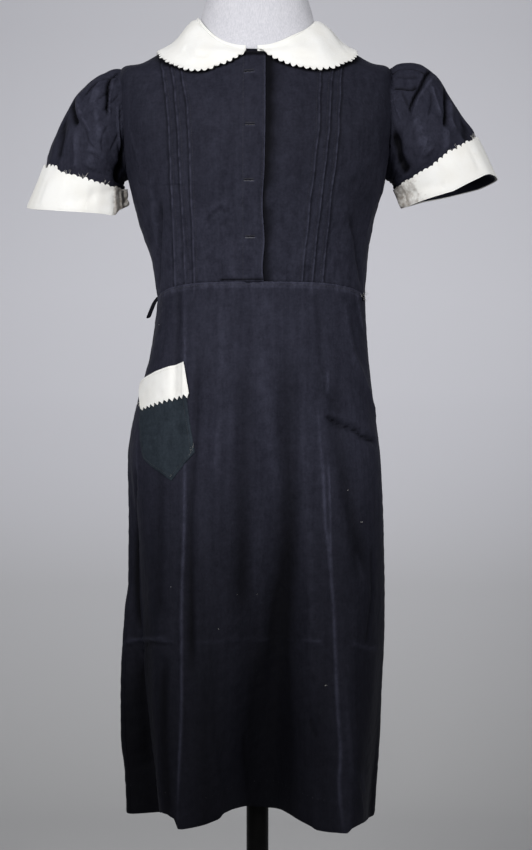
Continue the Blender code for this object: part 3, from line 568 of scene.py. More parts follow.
# How far the skirt's hem lies above its plain line. Columns: angle in degrees, rise.
SKIRT_HEM = read_numbers("""
0 0, 12 -.0025, 20 -.0027, 26 .0015, 36 .0069, 40 .0063, 44 .0039, 46.5 -.0018, 52 -.0018, 60.5 -.0041,
62.5 -.0012, 72 .0023, 77 .0023, 84 -.0014, 91 -.0004, 96 .0041, 104 .009, 109 .0094, 111 .0045,
124 .0007, 130 -.0014, 132.5 -.001, 135 .013, 140 .0178, 145 .0186, 152 .0146, 160 .0085, 168 .0016,
180 0, 230 .003, 262 -.003, 290 .0035, 318 -.002, 345 .002, 360 0
""")
# Painted shade of the skirt by height, darker towards the hem. Columns: height, amount.
SKIRT_SHADE_BY_HEIGHT = read_numbers("""
.354 .76, .462 .74, .57 .62, .624 .56, .68 .48, .762 .24, .845 .03
""")
# Small upright gathers in the band under the waist seam, as angles.
WAIST_GATHERS = (172, 163, 156, 149.2, 144, 139.7, 132.8, 125, 119.5, 114.5, 107, 100, 93.5, 86.5, 79,
                 70.5, 64, 58.8, 53.2, 45.8, 37, 32, 28.3, 22, 12, 4, 188, 197, 207, 214, 223, 231,
                 239.5, 246, 255, 262, 271, 277.5, 286, 294, 301, 309, 318, 325, 334, 343, 352)

BODICE_CREASES = read_creases("""
beside the placket
.8 1.3, 90 1.178, 90.3 1.147, 90.3 1.098
-1.5 2.4, 121.5 1.127, 117.5 1.142, 112.2 1.15, 109.3 1.146, 105.5 1.153
1.2 3.2, 121 1.135, 117 1.149, 111.5 1.157, 106 1.16
-1.2 2.6, 117 1.12, 109.2 1.134, 102.5 1.134
-1 1.5, 100.4 1.153, 97.5 1.16, 95 1.166
sides
-3.6 4.2 .3, 143 1.17, 145.8 1.156, 156.2 1.101, 167 1.04
2.4 4.8, 148 1.205, 149.5 1.19, 151.5 1.162, 154.8 1.131, 162.3 1.08
1 1.8, 160.5 1.292, 154.8 1.236, 153.3 1.172
1.2 2.2, 157 1.258, 153.7 1.22, 154.8 1.165
1 2.2, 153.5 1.15, 157.2 1.115, 155.3 1.082
-3.4 4.4 -.3, 36 1.15, 34.8 1.143, 24.7 1.101, 16.5 1.05
-1.8 2.4, 18 1.225, 8.7 1.16, 7 1.082
1.4 2.2, 21.5 1.216, 17 1.152, 17.8 1.082
1 2.2, 28.5 1.28, 24.7 1.237, 18.5 1.186
chest
-.5 1.6, 144.5 1.185, 133 1.184, 121 1.182
.5 1.6, 147 1.16, 137 1.157, 127.5 1.156
-.5 1.6, 48 1.325, 41 1.326, 33 1.325
-.6 1.6, 57.5 1.233, 54 1.234, 50 1.234
-.8 2.6, 149 1.331, 155.3 1.328, 160.5 1.321
1.2 12, 126 1.325, 114.3 1.257, 110 1.19
1.2 12, 64.7 1.325, 72 1.243, 76.5 1.17
waist
1.2 3, 150.5 1.04, 149 1.052, 147 1.064
1 2.6, 125.9 1.048, 125.3 1.06, 124.5 1.078
-1.2 3, 114.6 1.045, 114.4 1.065, 114 1.088
1.2 3.6, 104 1.045, 106 1.062, 110 1.078
1 2.8, 70.5 1.048, 70.5 1.062, 70.8 1.08
1 2.6, 35 1.045, 36 1.058, 37 1.074
-1 2.8, 54 1.045, 54.5 1.06, 56 1.078
back
-3.4 7, 236 1.2, 232 1.15, 226 1.09, 222 1.045
-3.6 7.5, 305 1.21, 311 1.16, 316 1.1, 319 1.045
-1.6 4.4, 204 1.255, 218 1.235, 233 1.228
-1.6 4.4, 338 1.258, 324 1.24, 311 1.225
2 9, 262 1.18, 266 1.12, 265 1.06
-2.2 6, 279 1.15, 277 1.1, 278 1.045
.7 3, 232 1.345, 258 1.338, 290 1.342, 309 1.347
1.1 2.8, 243 1.04, 243 1.052, 244 1.07
1.2 3, 255 1.04, 256 1.052, 255 1.074
1.1 2.8, 289 1.04, 288 1.052, 289 1.07
-1.1 3, 299 1.04, 300 1.054, 298 1.074
""")

# A point is degrees from the sleeve's top towards the front and a row of its table.
SLEEVE_CREASES = {
    -1: read_creases("""
-5.2 2.1 .45, 18 .15, 21 .61, 43 1.26, 78 1.61, 86 1.8
2.6 2.1, 34 .4, 46 1, 70 1.4, 88 1.6
-2.2 1.6, 62 .5, 70 1.2, 76 2.1
-2 1.5, 46 .9, 54 1.5, 60 2.5
1.8 1.6, 30 1.6, 44 2.2, 58 2.7
-1.8 1.8, 104 .8, 112 1.6, 118 2.6
1.8 1.9, 84 4.6, 100 4.2, 116 4.4
-1.6 1.9, 70 3.4, 84 3.9, 100 4
-1.6 1.8, 92 1.8, 100 2.8, 112 3.6
-5.4 2.4 .45, 36 .4, 33 1, 31 1.75, 37 2.46, 40 2.8
-6.6 2.9 .45, 12 3.25, 18 3.34, 38 3.55, 50 3.68, 61 3.8
4.8 2.9 .45, 20 2.8, 32 3.01, 52 3.26, 85 3.4
3 4.8, 40 1.9, 51 2.08, 60 2.34, 85 2.6
4.5 10, 88 2.2, 92 2.68, 98 4.06, 102 5.6
-3 6, 20 4.1, 26 4.34, 42 4.75, 52 5.8
-7.5 8.5, 118 .2, 128 .8, 143 1.83, 151 5.5
2.7 4.8, 62 4.1, 67 4.48, 76 5.05, 79 5.95
2.4 3, 75 .55, 85 .75, 108 .91, 134 1.15
-4.2 2.9 .45, 4 .2, 2 .9, -2 1.6
-5.4 3 .45, -24 .2, -28 .9, -34 1.8, -38 2.6
-5.4 3.2 .45, -14 3.1, -40 3.4, -58 3.8
3.9 3.3 .45, -52 .6, -62 1.9, -70 3.2
4.5 10, -90 1.6, -98 3.2, -104 5.4
-3.6 6, -44 4.2, -60 4.9, -66 5.8
-6 8, -126 .3, -140 1.9, -150 5
"""),
    +1: read_creases("""
-6.3 2.6 .45, 32 .1, 31 .91, 30 1.38, 33 2.16, 35 2.5
-4.5 1.9 .45, 60 .4, 61 1.03, 61 1.48, 59 1.85, 52 2.15
-5.2 2 .45, 8 2.75, 18 2.51, 48 2.28, 78 1.92, 87 1.98
-1.8 1.6, 64 1.2, 76 1.6, 86 2.2
1.6 1.6, 70 .5, 84 .9, 96 1.6
-1.6 1.8, 50 3, 62 3.4, 76 3.6
1.6 1.8, 88 4.4, 102 4.8, 114 5.2
-1.6 1.7, 44 .7, 46 1.4, 42 2
3.6 2.6 .45, 20 2.9, 40 2.72, 70 2.35, 92 2.3
-6.3 2.9 .45, 14 3.5, 20 3.68, 39 3.98, 56 4.5, 66 4.82
3.6 3 .45, 42 2.9, 50 3.15, 55 3.58, 62 4.4
3.3 4, 28 4.1, 35 4.38, 50 4.86, 50 5.45
4.8 10, 85 2.4, 90 2.9, 94 3.9, 97 5.6
-6.3 8, 108 .4, 116 1.44, 132 2.83, 133 5.6
-3 5.6, 22 5.2, 36 5.6, 50 5.95
2.7 4.6, 60 5, 72 5.5, 77 6
-4.5 3.2 .45, -2 .15, -4 1, 2 2
-5.4 3 .45, -28 .2, -30 1.1, -37 2.2
-5.4 3.2 .45, -16 3.2, -38 3.7, -56 4.2
3.9 3.3 .45, -54 .6, -66 1.8, -72 3.4
4.5 10, -92 1.8, -96 3.4, -106 5.5
-3.3 6, -48 4.6, -58 5.2, -64 5.9
-6 8, -122 .3, -138 2, -148 5.2
"""),
}
CUFF_CREASES = {
    -1: read_creases("""
-1.1 3.4, 140 6.12, 119 6.35, 101 6.5
-1.1 3.6, 116 6.42, 94 6.6, 72 6.72
1.4 3.4 -.4, 140 6.05, 142 6.5, 143 7.05
-2.4 2.4, 150 6.05, 151 6.4, 152 7.05
4.8 6.4 .3, 166 5.8, 168 6.45, 170 7.15
-2.4 2.6, 158 6.2, 163 6.5, 166 6.7
-2 2.4, 156 6.75, 164 6.65, 174 6.5
1.4 6, 84 6.2, 60 6.45, 40 6.6
-1.2 3.8, -130 6.15, -108 6.4, -88 6.55
-1.1 3.8, -96 6.45, -66 6.66, -48 6.7
1.4 6, -60 6.2, -40 6.4, -20 6.5
"""),
    +1: read_creases("""
-1.2 4, 130 6.46, 112 6.6, 94 6.68
-1.6 3.6, 186 6.3, 150 6.48, 124 6.62
-1.6 3, 150 6.05, 154 6.4, 150 6.95
3.6 6 .3, 164 5.9, 168 6.45, 166 7.1
1.4 6, 96 6.2, 74 6.4, 50 6.5
-1.2 3.8, -134 6.18, -112 6.42, -90 6.56
-1.1 3.8, -92 6.44, -64 6.6, -44 6.72
"""),
}
# How far a sleeve's hem lies above its plain line. Columns: turn in degrees, rise.
HEM_SHIFTS = {
    -1: read_numbers("""
-180 -.003, -150 -.001, -100 0, -40 .0015, 0 0, 60 .002, 90 -.0004, 110 -.0034, 125 -.0068, 137 -.0108,
143 -.0108, 150 -.0058, 165 -.0036, 180 -.003
"""),
    +1: read_numbers("""
-180 -.0032, -120 0, -90 -.002, -47 -.0038, -15 -.001, 0 0, 20 .004, 36 .0082, 47 .009, 60 .0062,
74 .003, 90 -.0016, 120 -.0022, 150 -.004, 180 -.0032
"""),
}
# A point is an angle round the neck in degrees and a share of the collar's width.
COLLAR_CREASES = read_creases("""
-1.6 3, 152 .5, 141 .46, 128 .44
1 3.6, 154 .62, 141 .57, 126 .55
-.7 3.6, 392 .52, 408 .55, 424 .6
-1 4, 176 .3, 170 .6, 166 .9
-.4 4, 368 .3, 376 .6, 380 .9
-.9 6, 226 .35, 232 .65, 228 .95
-.9 6, 312 .35, 306 .65, 311 .95
.9 7, 262 .3, 268 .6, 266 .95
""")
POCKET_CREASES = read_creases("""
-.9 3, 163 .846, 152 .857, 134 .868
-1 1.6, 152.5 .846, 148 .845, 144 .846
.9 2.2, 158 .85, 157 .83, 155.5 .812
-.8 2.4, 136 .852, 131 .848, 128 .85
""")
# The over-front's edge wanders: a row of the bodice and a distance from the middle.
PLACKET_EDGE = read_numbers("""
0 .009, .4 .0074, 1 .01, 1.9 .0074, 3 .01, 4.6 .0112, 7 .0113, 10 .0114
""")
# Buttonholes in the over-front. Columns: height, inner end, outer end, tilt.
BUTTONHOLES = read_table("""
top: 1.341 -.0035 -.0185 .0016
second: 1.264 -.0025 -.0165 0
third: 1.189 -.004 -.0185 0
low: 1.114 -.0025 -.0165 0
""")

# A stitch along its length. Columns: share of the length, thickness, rise.
THREAD_SHAPE = ((0, 0.55, -0.5), (0.22, 1, 0.6), (0.5, 1.1, 1), (0.78, 1, 0.6), (1, 0.55, -0.5))
# Where the cuffs' upper edges are frayed. Columns: side, from and to in degrees, number of threads.
WISP_SPANS = ((-1, 62, 84, 9), (-1, 86, 100, 6), (-1, 20, 34, 4), (-1, 110, 128, 4), (-1, -70, -40, 5),
              (1, 20, 44, 10), (1, 60, 74, 4), (1, -60, -30, 5))
# Lint on the skirt. Columns: angle in degrees, height.
LINT = read_numbers("""
101.3 .629, 90.2 .628, 112 .584, 33.5 .727, 55 .507, 39 .77, 158.5 .998, 262 .7, 230 .5, 301 .9,
341 .6, 203 .8
""")

# Metres on the cloth for a degree and for one row or metre of height.
BODY_SCALE = np.array([0.00288, 1])
SLEEVE_SCALE = np.array([0.00126, 0.021])
COLLAR_SCALE = np.array([0.002, 0.062])


# Stage. The camera stands level in front of the dress. The floor lies just under the base and
# bends up into the backdrop, with this radius and this far behind.
CAMERA_PLACE, CAMERA_TARGET = (0.012, -2.8, 0.86), (0.012, 0, 0.86)
FLOOR, BACKDROP_BEND, BACKDROP_BACK = -0.0005, 0.9, 2.4
SKY_COLOUR = (0.86, 0.88, 0.95, 1)
# Columns: place, target, size, setting in the sidebar, factor on it, spread in degrees.
LAMPS = {
    "key": ((-1.25, -2.15, 2.05), (0, 0, 1.1), (0.9, 0.9), "key_power", 1, 84),
    "fill": ((1.9, -2.2, 1.75), (0, 0, 1.1), (1.2, 1.2), "fill_power", 1, 90),
    "backdrop lamp": ((0, 0.5, 2.7), (0, 2.4, 0.85), (2.4, 0.5), "backdrop_power", 1, 130),
    "rear left": ((-1.1, 1.9, 1.9), (0, 0, 1), (0.8, 1.4), "rear_power", 1, 90),
    "rear right": ((1.1, 1.9, 1.7), (0, 0, 1), (0.8, 1.4), "rear_power", 0.6, 90),
}


def shape_settings():
    """The values of the sidebar's shape group."""
    return bpy.context.scene.uniform_shape


def through(points, at):
    """Value at a place, on a smooth curve through (place, value) pairs."""
    places, values = zip(*points)
    return read_rows([[value] for value in values], interp(at, places, range(len(places))))[..., 0]


def relief(creases, across, along, scale):
    """Height of listed creases over a grid of points.

    A crease gives its height times exp(-(d / w)^2), where d is the distance to
    its line and w its half width, larger on the gentle side. It fades to
    nothing over the first and the last sixth of its line.
    """
    u, v = np.broadcast_arrays(across * scale[0], along * scale[1])
    total = np.zeros(u.shape)
    for height, width, lean, *points in creases:
        steps = 6 * (len(points) - 1) + 1
        line = read_rows(points, linspace(0, len(points) - 1, steps)) * scale
        low, high = line.min(0) - 3 * width, line.max(0) + 3 * width
        near = (u > low[0]) & (u < high[0]) & (v > low[1]) & (v < high[1])
        place = stack([u[near], v[near]], -1)
        length = run_along(line)
        gap, side, run = np.full(len(place), np.inf), np.zeros(len(place)), np.zeros(len(place))
        for start, stretch, before in zip(line[:-1], np.diff(line, axis=0), length):
            share = hold((place - start) @ stretch / (stretch @ stretch))
            off = place - start - share[:, None] * stretch
            here = (off ** 2).sum(-1)
            closer = here < gap
            gap = np.where(closer, here, gap)
            side = np.where(closer, np.sign(stretch[0] * off[:, 1] - stretch[1] * off[:, 0]), side)
            run = np.where(closer, before + share * np.linalg.norm(stretch), run)
        fade = hold(6 * np.minimum(run, length[-1] - run) / length[-1])
        total[near] += height * fade ** 2 * (3 - 2 * fade) * np.exp(-gap / (width * (1 + lean * side)) ** 2)
    return total * shape_settings().crease_depth


def ripple(across, along, seed, size, count=12):
    """Soft unevenness, mostly within -1 to 1: waves about size metres long, in seeded directions."""
    draw = np.random.default_rng(seed)
    turns, lengths, starts = draw.uniform(0, 2 * pi, (3, count))
    lengths = size * (0.6 + 0.2 * lengths)
    total = 0
    for turn, length, start in zip(turns, lengths, starts):
        total = total + sin(2 * pi * (across * cos(turn) + along * sin(turn)) / length + start)
    return total / count ** 0.5


def fold_marks(folds):
    """Masks of folds by their height: ridges painted paler, as worn and as lit, and troughs painted in shade.
    """
    return hold(folds / 0.004), hold(-folds / 0.006)


def skirt_folds(angle, fall):
    """Height of the skirt's listed creases."""
    return relief(SKIRT_CREASES, np.degrees(angle), skirt(angle, fall)[..., 2], BODY_SCALE)


def waist_gathers(across, drop):
    """Small upright gathers under the waist seam, 1 at the strongest one's middle."""
    total = 0
    for k, mark in enumerate(WAIST_GATHERS):
        strength = (0.8, 0.5, 1, 0.6)[k % 4]
        total = total + strength * bell(across - mark * BODY_SCALE[0], 0.0022) * bell(drop - 0.004, 0.008)
    return total


def skirt_lift(angle, fall, folds=None):
    """How far the skirt's cloth stands off its plain surface: creases, gathers and soft unevenness."""
    turn, height = np.degrees(angle), skirt(angle, fall)[..., 2]
    lift = skirt_folds(angle, fall) if folds is None else folds
    across = turn * BODY_SCALE[0]
    lift = lift + 0.0007 * ripple(across, 0.55 * height, 11, 0.06)
    lift = lift + 0.00022 * ripple(across, height, 12, 0.016)
    drop = fall * SKIRT_LENGTH
    return lift + 0.001 * waist_gathers(across, drop) - 0.0004 * bell(drop, 0.0016)


def hung_skirt(angle, fall):
    """The skirt's surface with its hem hung unevenly, as SKIRT_HEM says."""
    point = skirt(angle, fall)
    rise = interp(np.degrees(angle) % 360, *zip(*SKIRT_HEM)) * last_part(fall)
    return point + rise[..., None] * UP


def skirt_point(angle, fall, out=0):
    """Point of the creased skirt, moved out by a distance."""
    return moved_out(hung_skirt, angle, fall, -(skirt_lift(angle, fall) + out))


def tuck_edge(side, number, row):
    """Distance from the middle to a tuck's edge, which wanders a little and keeps clear of the side."""
    tuck = list(TUCKS[side].values())[number]
    edge = interp(row, TUCK_ROWS, tuck) + 0.0005 * ripple(row * 0.04, 0, 31 + number + 5 * side, 0.05)
    return np.minimum(edge, (TUCK_LIMIT + TUCK_LIMIT_STEP * number) * side_reach(side, row))


def tuck_profile(off):
    """A tuck across its run: a long slope, a narrow crest at its edge, a sharp drop and a dip after it."""
    slope = 0.35 * np.exp(np.minimum(off, 0) / 0.004) + 0.65 * bell(off, 0.0011)
    drop = bell(off, 0.0005)
    return np.where(off < 0, slope, drop) - 0.4 * bell(off - 0.002, 0.0013)


def bodice_folds(angle, row):
    """Height of the bodice's listed creases."""
    return relief(BODICE_CREASES, np.degrees(angle), torso(angle, row)[..., 2], BODY_SCALE)


def bodice_lift(side, angle, row, folds=None):
    """How far the bodice's cloth stands off its plain surface. side is 0 for the back."""
    point = torso(angle, row)
    x, height, across = point[..., 0], point[..., 2], np.degrees(angle) * BODY_SCALE[0]
    calm = 0.25 + 0.75 * hold((SHOULDER_ROW + 0.5 - row) / 2)
    lift = (bodice_folds(angle, row) if folds is None else folds) + calm * (
        0.0005 * ripple(across, height, 21, 0.045) + 0.0002 * ripple(across, height, 22, 0.013))
    if side != 0:
        fade = hold((TUCK_END_ROW - row) / TUCK_FADE_ROWS)
        for number in range(3):
            off = side * x - tuck_edge(side, number, row)
            uneven = 0.85 + 0.3 * ripple(height, 0, 41 + number + 5 * side, 0.03)
            lift = lift + shape_settings().tuck_rise * fade * uneven * tuck_profile(off)
    if side < 0:
        edge = through(PLACKET_EDGE, row)
        pucker = 0.6 + 0.4 * ripple(height, 0, 51, 0.008)
        lift = lift + interp(x, (-0.031, -0.0225), (0, PLACKET_STEP))
        lift = lift - 0.0006 * bell(x - edge, 0.0009) - 0.0003 * pucker * bell(x - edge + 0.0032, 0.0009)
        lift = lift - 0.0003 * pucker * bell(x + 0.019, 0.0009)
        for hole in BUTTONHOLES.values():
            share, off = on_buttonhole(hole, x, height)
            within = hold(8 * share) * hold(8 * (1 - share))
            lift = lift + within * (0.0004 * bell(off + 0.0015, 0.0008) - 0.0011 * bell(off, 0.0006))
    return lift - 0.0004 * bell(row * WAIST_ROW_HEIGHT, 0.0016)


def on_buttonhole(hole, x, height):
    """How far along a buttonhole a point lies, from 0 to 1, and how far above it."""
    middle, inner, outer, tilt = hole
    share = (x - inner) / (outer - inner)
    return share, height - middle - tilt * (0.5 - share)


def bodice_point(side, angle, row, out=0):
    """Point of the creased bodice, moved out by a distance."""
    return moved_out(torso, angle, row, bodice_lift(side, angle, row) + out)


def hung_sleeve(side):
    """The sleeve's surface with its hem hung unevenly, as HEM_SHIFTS says."""
    places, shifts = zip(*HEM_SHIFTS[side])

    def surface(turn, row):
        point = sleeve(side, turn, row)
        shift = interp(np.degrees(turn), places, shifts) * np.clip((row - 5.4) / 1.6, 0, 1.1) ** 2
        return point + shift[..., None] * UP

    return surface


def sleeve_lift(side, turn, row):
    """How far a sleeve's cloth stands off its plain surface; it lies flat under the cuff."""
    degrees = np.degrees(turn)
    lift = relief(SLEEVE_CREASES[side], degrees, row, SLEEVE_SCALE)
    across, along = degrees * SLEEVE_SCALE[0], row * SLEEVE_SCALE[1]
    lift = lift + 0.0007 * ripple(across, along, 61 + side, 0.036)
    lift = lift + 0.0002 * ripple(across, along, 64 + side, 0.011)
    gathers = (cos(turn) > -0.2) * sin(degrees * 0.62 + 2 * ripple(across, 0, 66, 0.05))
    lift = lift + 0.0006 * gathers * bell(row, 0.45)
    under_cuff = hold((row - 5.7) / 0.35)
    return lift * (1 - under_cuff) - 0.0019 * under_cuff - 0.0006 * bell(row, 0.1)


def sleeve_point(side, turn, row, out=0):
    """Point of a creased sleeve, moved out by a distance."""
    return moved_out(hung_sleeve(side), turn, row, -side * (sleeve_lift(side, turn, row) + out))


def cuff_lift(side, turn, row):
    """How far a cuff's cloth stands off the sleeve's plain surface."""
    degrees = np.degrees(turn)
    across, along = degrees * SLEEVE_SCALE[0], row * SLEEVE_SCALE[1]
    lift = relief(CUFF_CREASES[side], degrees, row, SLEEVE_SCALE)
    lift = lift + 0.0004 * ripple(across, along, 71 + side, 0.03)
    return 2 * SEAM + WHITE_CLOTH + lift - 0.0005 * bell(row - SLEEVE_HEM_ROW, 0.05)


def cuff_point(side, turn, row, out=0):
    """Point of a creased cuff's outside, moved out by a distance."""
    return moved_out(hung_sleeve(side), turn, row, -side * (cuff_lift(side, turn, row) + out))


def collar_grid(share, width):
    """Angle and row on the torso, for a share round the collar and a width from its roll to its edge."""
    last = len(COLLAR) - 1
    roll, edge, edge_row = read_columns(COLLAR, share * last)
    angle = roll + (edge - roll) * width
    top = ROLL_ROW - COLLAR_LEFT_DIP * bell(angle - 368, 34)
    return np.radians(angle), top + (edge_row - top) * width ** COLLAR_WIDTH_POWER


def collar_point(share, width, out=0):
    """Point of the creased collar's outside, moved out by a distance.

    Past the roll the cloth arches outwards by w exp(0.5 - 0.5 w^2) and upwards
    by 1 - exp(-w), and comes down to the shoulder again before its edge.
    """
    angle, row = collar_grid(share, width)
    x = torso(angle, row)[..., 0]
    front = sin(angle) > 0
    lift = COLLAR_LIFT + COLLAR_PLACKET_LIFT * np.where(front, bell(x + 0.008, 0.03), 0)
    degrees = np.degrees(angle)
    lift = lift + relief(COLLAR_CREASES, degrees, width, COLLAR_SCALE)
    uneven = ripple(degrees * COLLAR_SCALE[0], width * COLLAR_SCALE[1], 81, 0.04)
    lift = lift + 0.0005 * uneven * hold(4 * width) + 0.0014 * bell(width - 1, 0.1)
    point = moved_out(torso, angle, row, lift + WHITE_CLOTH + out)
    off_middle = 1 - hold(sin(angle)) ** 2
    arch = width / COLLAR_ARCH_WIDTH
    spread = off_middle * np.where(cos(angle) < 0, COLLAR_SPREAD, COLLAR_LEFT_SPREAD)
    spread = spread * arch * np.exp(0.5 - 0.5 * arch ** 2)
    settle = hold((width - 0.3) / 0.4)
    rise = off_middle * COLLAR_RISE * (1 - np.exp(-25 * width)) * (1 - settle ** 2 * (3 - 2 * settle))
    rise = rise + COLLAR_LEFT_RISE * bell(degrees - 413, 22) * hold(1 - width) ** 1.5
    return point + stack([spread * cos(angle), -spread * sin(angle), rise], -1)


def between(a, b, share):
    """Straight mix of two corners."""
    return a + np.subtract(b, a) * np.asarray(share)[..., None]


def patch(corners, shares, falls):
    """Angle and fall of a sewn-on patch: shares run from its outer to its inner side."""
    top = between(corners["top outer"], corners["top inner"], shares)
    if "foot point" in corners:
        near, far = shares / POCKET_TURN, (shares - POCKET_TURN) / (1 - POCKET_TURN)
        near = between(corners["foot outer"], corners["foot point"], near)
        far = between(corners["foot point"], corners["foot inner"], far)
        foot = np.where((shares < POCKET_TURN)[..., None], near, far)
    else:
        foot = between(corners["low outer"], corners["low inner"], shares)
    place = top + (foot - top) * falls[..., None]
    return np.radians(place[..., 0]), place[..., 1]


def teeth_wave(place, uneven, seed, sharp=0):
    """Cut edge: 1 at a tooth's tip and 0 between two teeth, for a place counted in teeth.

    A sharp tooth is 1 - 2|p - 0.5|, and a round one sin(pi p)^0.8.
    """
    part = place % 1
    wave = sharp * (1 - 2 * np.abs(part - 0.5)) + (1 - sharp) * sin(pi * part) ** 0.8
    size = 1 + uneven * np.random.default_rng(seed).uniform(-1, 0.6, 400)
    return wave * size[np.floor(place).astype(int) % 400]


def even_places(points, count):
    """Fractions of a fine line of points that are evenly spaced along its length."""
    length = run_along(points)
    return interp(linspace(0, length[-1], count + 1), length, linspace(0, 1, len(points)))


def add_mesh(name, points, faces, look, corners=None, marks=None):
    """A smooth mesh object from points and arrays of faces, with UVs in metres and point masks."""
    mesh = bpy.data.meshes.new(name)
    points = np.asarray(points, np.float32).reshape(-1, 3)
    mesh.vertices.add(len(points))
    mesh.vertices.foreach_set("co", points.ravel())
    sizes = concatenate([np.full(len(block), block.shape[1]) for block in faces]).astype(np.int32)
    loops = concatenate([block.ravel() for block in faces]).astype(np.int32)
    mesh.loops.add(len(loops))
    mesh.loops.foreach_set("vertex_index", loops)
    mesh.polygons.add(len(sizes))
    mesh.polygons.foreach_set("loop_start", concatenate([[0], np.cumsum(sizes)[:-1]]).astype(np.int32))
    mesh.polygons.foreach_set("loop_total", sizes)
    mesh.update(calc_edges=True)
    if corners is not None:
        mesh.uv_layers.new(name="cloth").data.foreach_set("uv", np.asarray(corners, np.float32).ravel())
    for key, values in (marks or {}).items():
        mark = mesh.attributes.new(key, "FLOAT", "POINT")
        mark.data.foreach_set("value", np.asarray(values, np.float32).ravel())
    mesh.shade_smooth()
    mesh.set_sharp_from_angle(angle=radians(55))
    make_finishes()
    mesh.materials.append(bpy.data.materials[look])
    piece = bpy.data.objects.new(name, mesh)
    bpy.context.scene.collection.objects.link(piece)
    return piece


def add_cloth(name, node, slot, outer, inner, flat, closed=False, look=None, **marks):
    """A closed cloth wall between two grids of points, which its rims join, in place of a node.

    flat holds the grid's places on the flat cloth in metres, with one more
    column where the wall is closed round, so that the weave meets itself.
    """
    rows, columns = outer.shape[:2]
    wide = columns + 1 if closed else columns
    place = np.arange(rows * wide).reshape(rows, wide)
    half = rows * wide
    rims = [place[0, ::-1], place[-1]]
    if not closed:
        rims += [place[:, 0], place[::-1, -1]]
    walls = [stack([rim[:-1], rim[1:], rim[1:] + half, rim[:-1] + half], -1) for rim in rims]
    cells = grid_cells(place)
    cells = concatenate([cells, cells[:, ::-1] + half] + walls)
    side = np.cross(outer[:-1, 1:] - outer[:-1, :-1], outer[1:, :-1] - outer[:-1, :-1])
    if ((outer - inner)[:-1, :-1] * side).sum() < 0:
        cells = cells[:, ::-1]
    layer, spot = cells // half, cells % half
    vertex = layer * rows * columns + (spot // wide) * columns + (spot % wide) % columns
    marks = {key: np.tile(values.ravel(), 2) for key, values in marks.items()}
    points = concatenate([outer.reshape(-1, 3), inner.reshape(-1, 3)])
    piece = add_mesh(name, points, [vertex], look or slot + "_look", flat.reshape(-1, 2)[spot], marks)
    return fitted(piece, slot, *([node] if node else []))


def add_black_cloth(name, node, outer, inner, flat, wear, deep, closed=False):
    """A piece of the black cotton, with its mask of wear and painted highlight and its mask of painted shade
    at each point.
    """
    return add_cloth(name, node, "black_cotton", outer, inner, flat, closed,
                     wear=wear, deep=np.clip(deep, 0, DARKEST_PAINTED_SHADE))


def flat_places(across, along, closed=False):
    """Places on the flat cloth for a grid, closed round with one more column."""
    across, along = np.broadcast_arrays(across, along)
    flat = stack([across, along], -1)
    if closed:
        flat = concatenate([flat, 2 * flat[:, -1:] - flat[:, -2:-1]], 1)
    return flat


def tube_faces(rings, sides, count):
    """Faces of count tubes of rings by sides points each, their ends closed."""
    index = np.arange(rings * sides).reshape(rings, sides)
    index = np.hstack([index, index[:, :1]])
    cells = grid_cells(index)
    ends = stack([index[0, :-1][::-1], index[-1, :-1]])
    shift = (np.arange(count) * rings * sides)[:, None, None]
    return [(block[None] + shift).reshape(-1, block.shape[1])[:, ::-1] for block in (cells, ends)]


def thread_bars(starts, ends, normals, radius, rise):
    """Points of short stitches: each a thin four-sided bar that bows out between its two ends."""
    run = unit(ends - starts)
    across = unit(np.cross(normals, run))
    rings = []
    for share, thick, lift in THREAD_SHAPE:
        middle = starts + (ends - starts) * share + normals * lift * rise
        corners = [middle + radius * thick * (cos(a) * across + sin(a) * normals)
                   for a in around(4) + pi / 4]
        rings.append(stack(corners, 1))
    return stack(rings, 1)


def add_stitches(name, material, rows, slot):
    """One mesh of stitches from (starts, ends, normals, radius, rise) sets, which rides on the body."""
    points = concatenate([thread_bars(*row) for row in rows])
    return fitted(add_mesh(name, points, tube_faces(5, 4, len(points)), material), slot)


def line_stitches(surface, u, v, pitch, length, radius=0.00022, rise=0.00022, waver=0):
    """Running stitches along a line on a surface, surface(u, v, out) with arrays of places.

    The line is walked by its length: a stitch starts every pitch metres and is
    as long as given. The outward normal comes from a second point further out.
    """
    u, v = np.broadcast_arrays(u, v)
    points = surface(u, v, 0)
    count = max(int(run_along(points)[-1] / pitch), 2)
    here = linspace(0, 1, len(u))
    starts = even_places(points, count)[:-1]
    share = length / (run_along(points)[-1] / count)
    ends = starts + share * np.diff(np.append(starts, 1))

    def point(places, out=0):
        return surface(interp(places, here, u), interp(places, here, v), out)

    near, far = point(starts), point(ends)
    normals = unit(point(starts, 0.001) - near)
    if waver:
        draw = np.random.default_rng(int(1e4 * pitch) + count)
        aside = unit(np.cross(far - near, normals))
        near, far = (line + aside * draw.normal(0, waver, (count, 1)) for line in (near, far))
    return near, far, normals, radius, rise


def feed(tree, node, sockets):
    """Give a node's inputs their values or links."""
    for key, value in sockets.items():
        if isinstance(value, bpy.types.NodeSocket):
            tree.links.new(value, node.inputs[key])
        else:
            node.inputs[key].default_value = value
    return node


def add_node(tree, kind, sockets=None, **settings):
    """Add a shader node, with its settings and the values or links of its inputs."""
    node = tree.nodes.new("ShaderNode" + kind)
    for key, value in settings.items():
        setattr(node, key, value)
    return feed(tree, node, sockets or {})


def add_math(tree, operation, a, b=0, c=0):
    """A Math node's result."""
    return add_node(tree, "Math", {0: a, 1: b, 2: c}, operation=operation).outputs[0]


def times(tree, a, b):
    """The product of two values."""
    return add_math(tree, "MULTIPLY", a, b)


def plus(tree, a, b):
    """The sum of two values."""
    return add_math(tree, "ADD", a, b)


def scaled(tree, value, factor, extra):
    """A value times a factor, plus an extra."""
    return add_math(tree, "MULTIPLY_ADD", value, factor, extra)


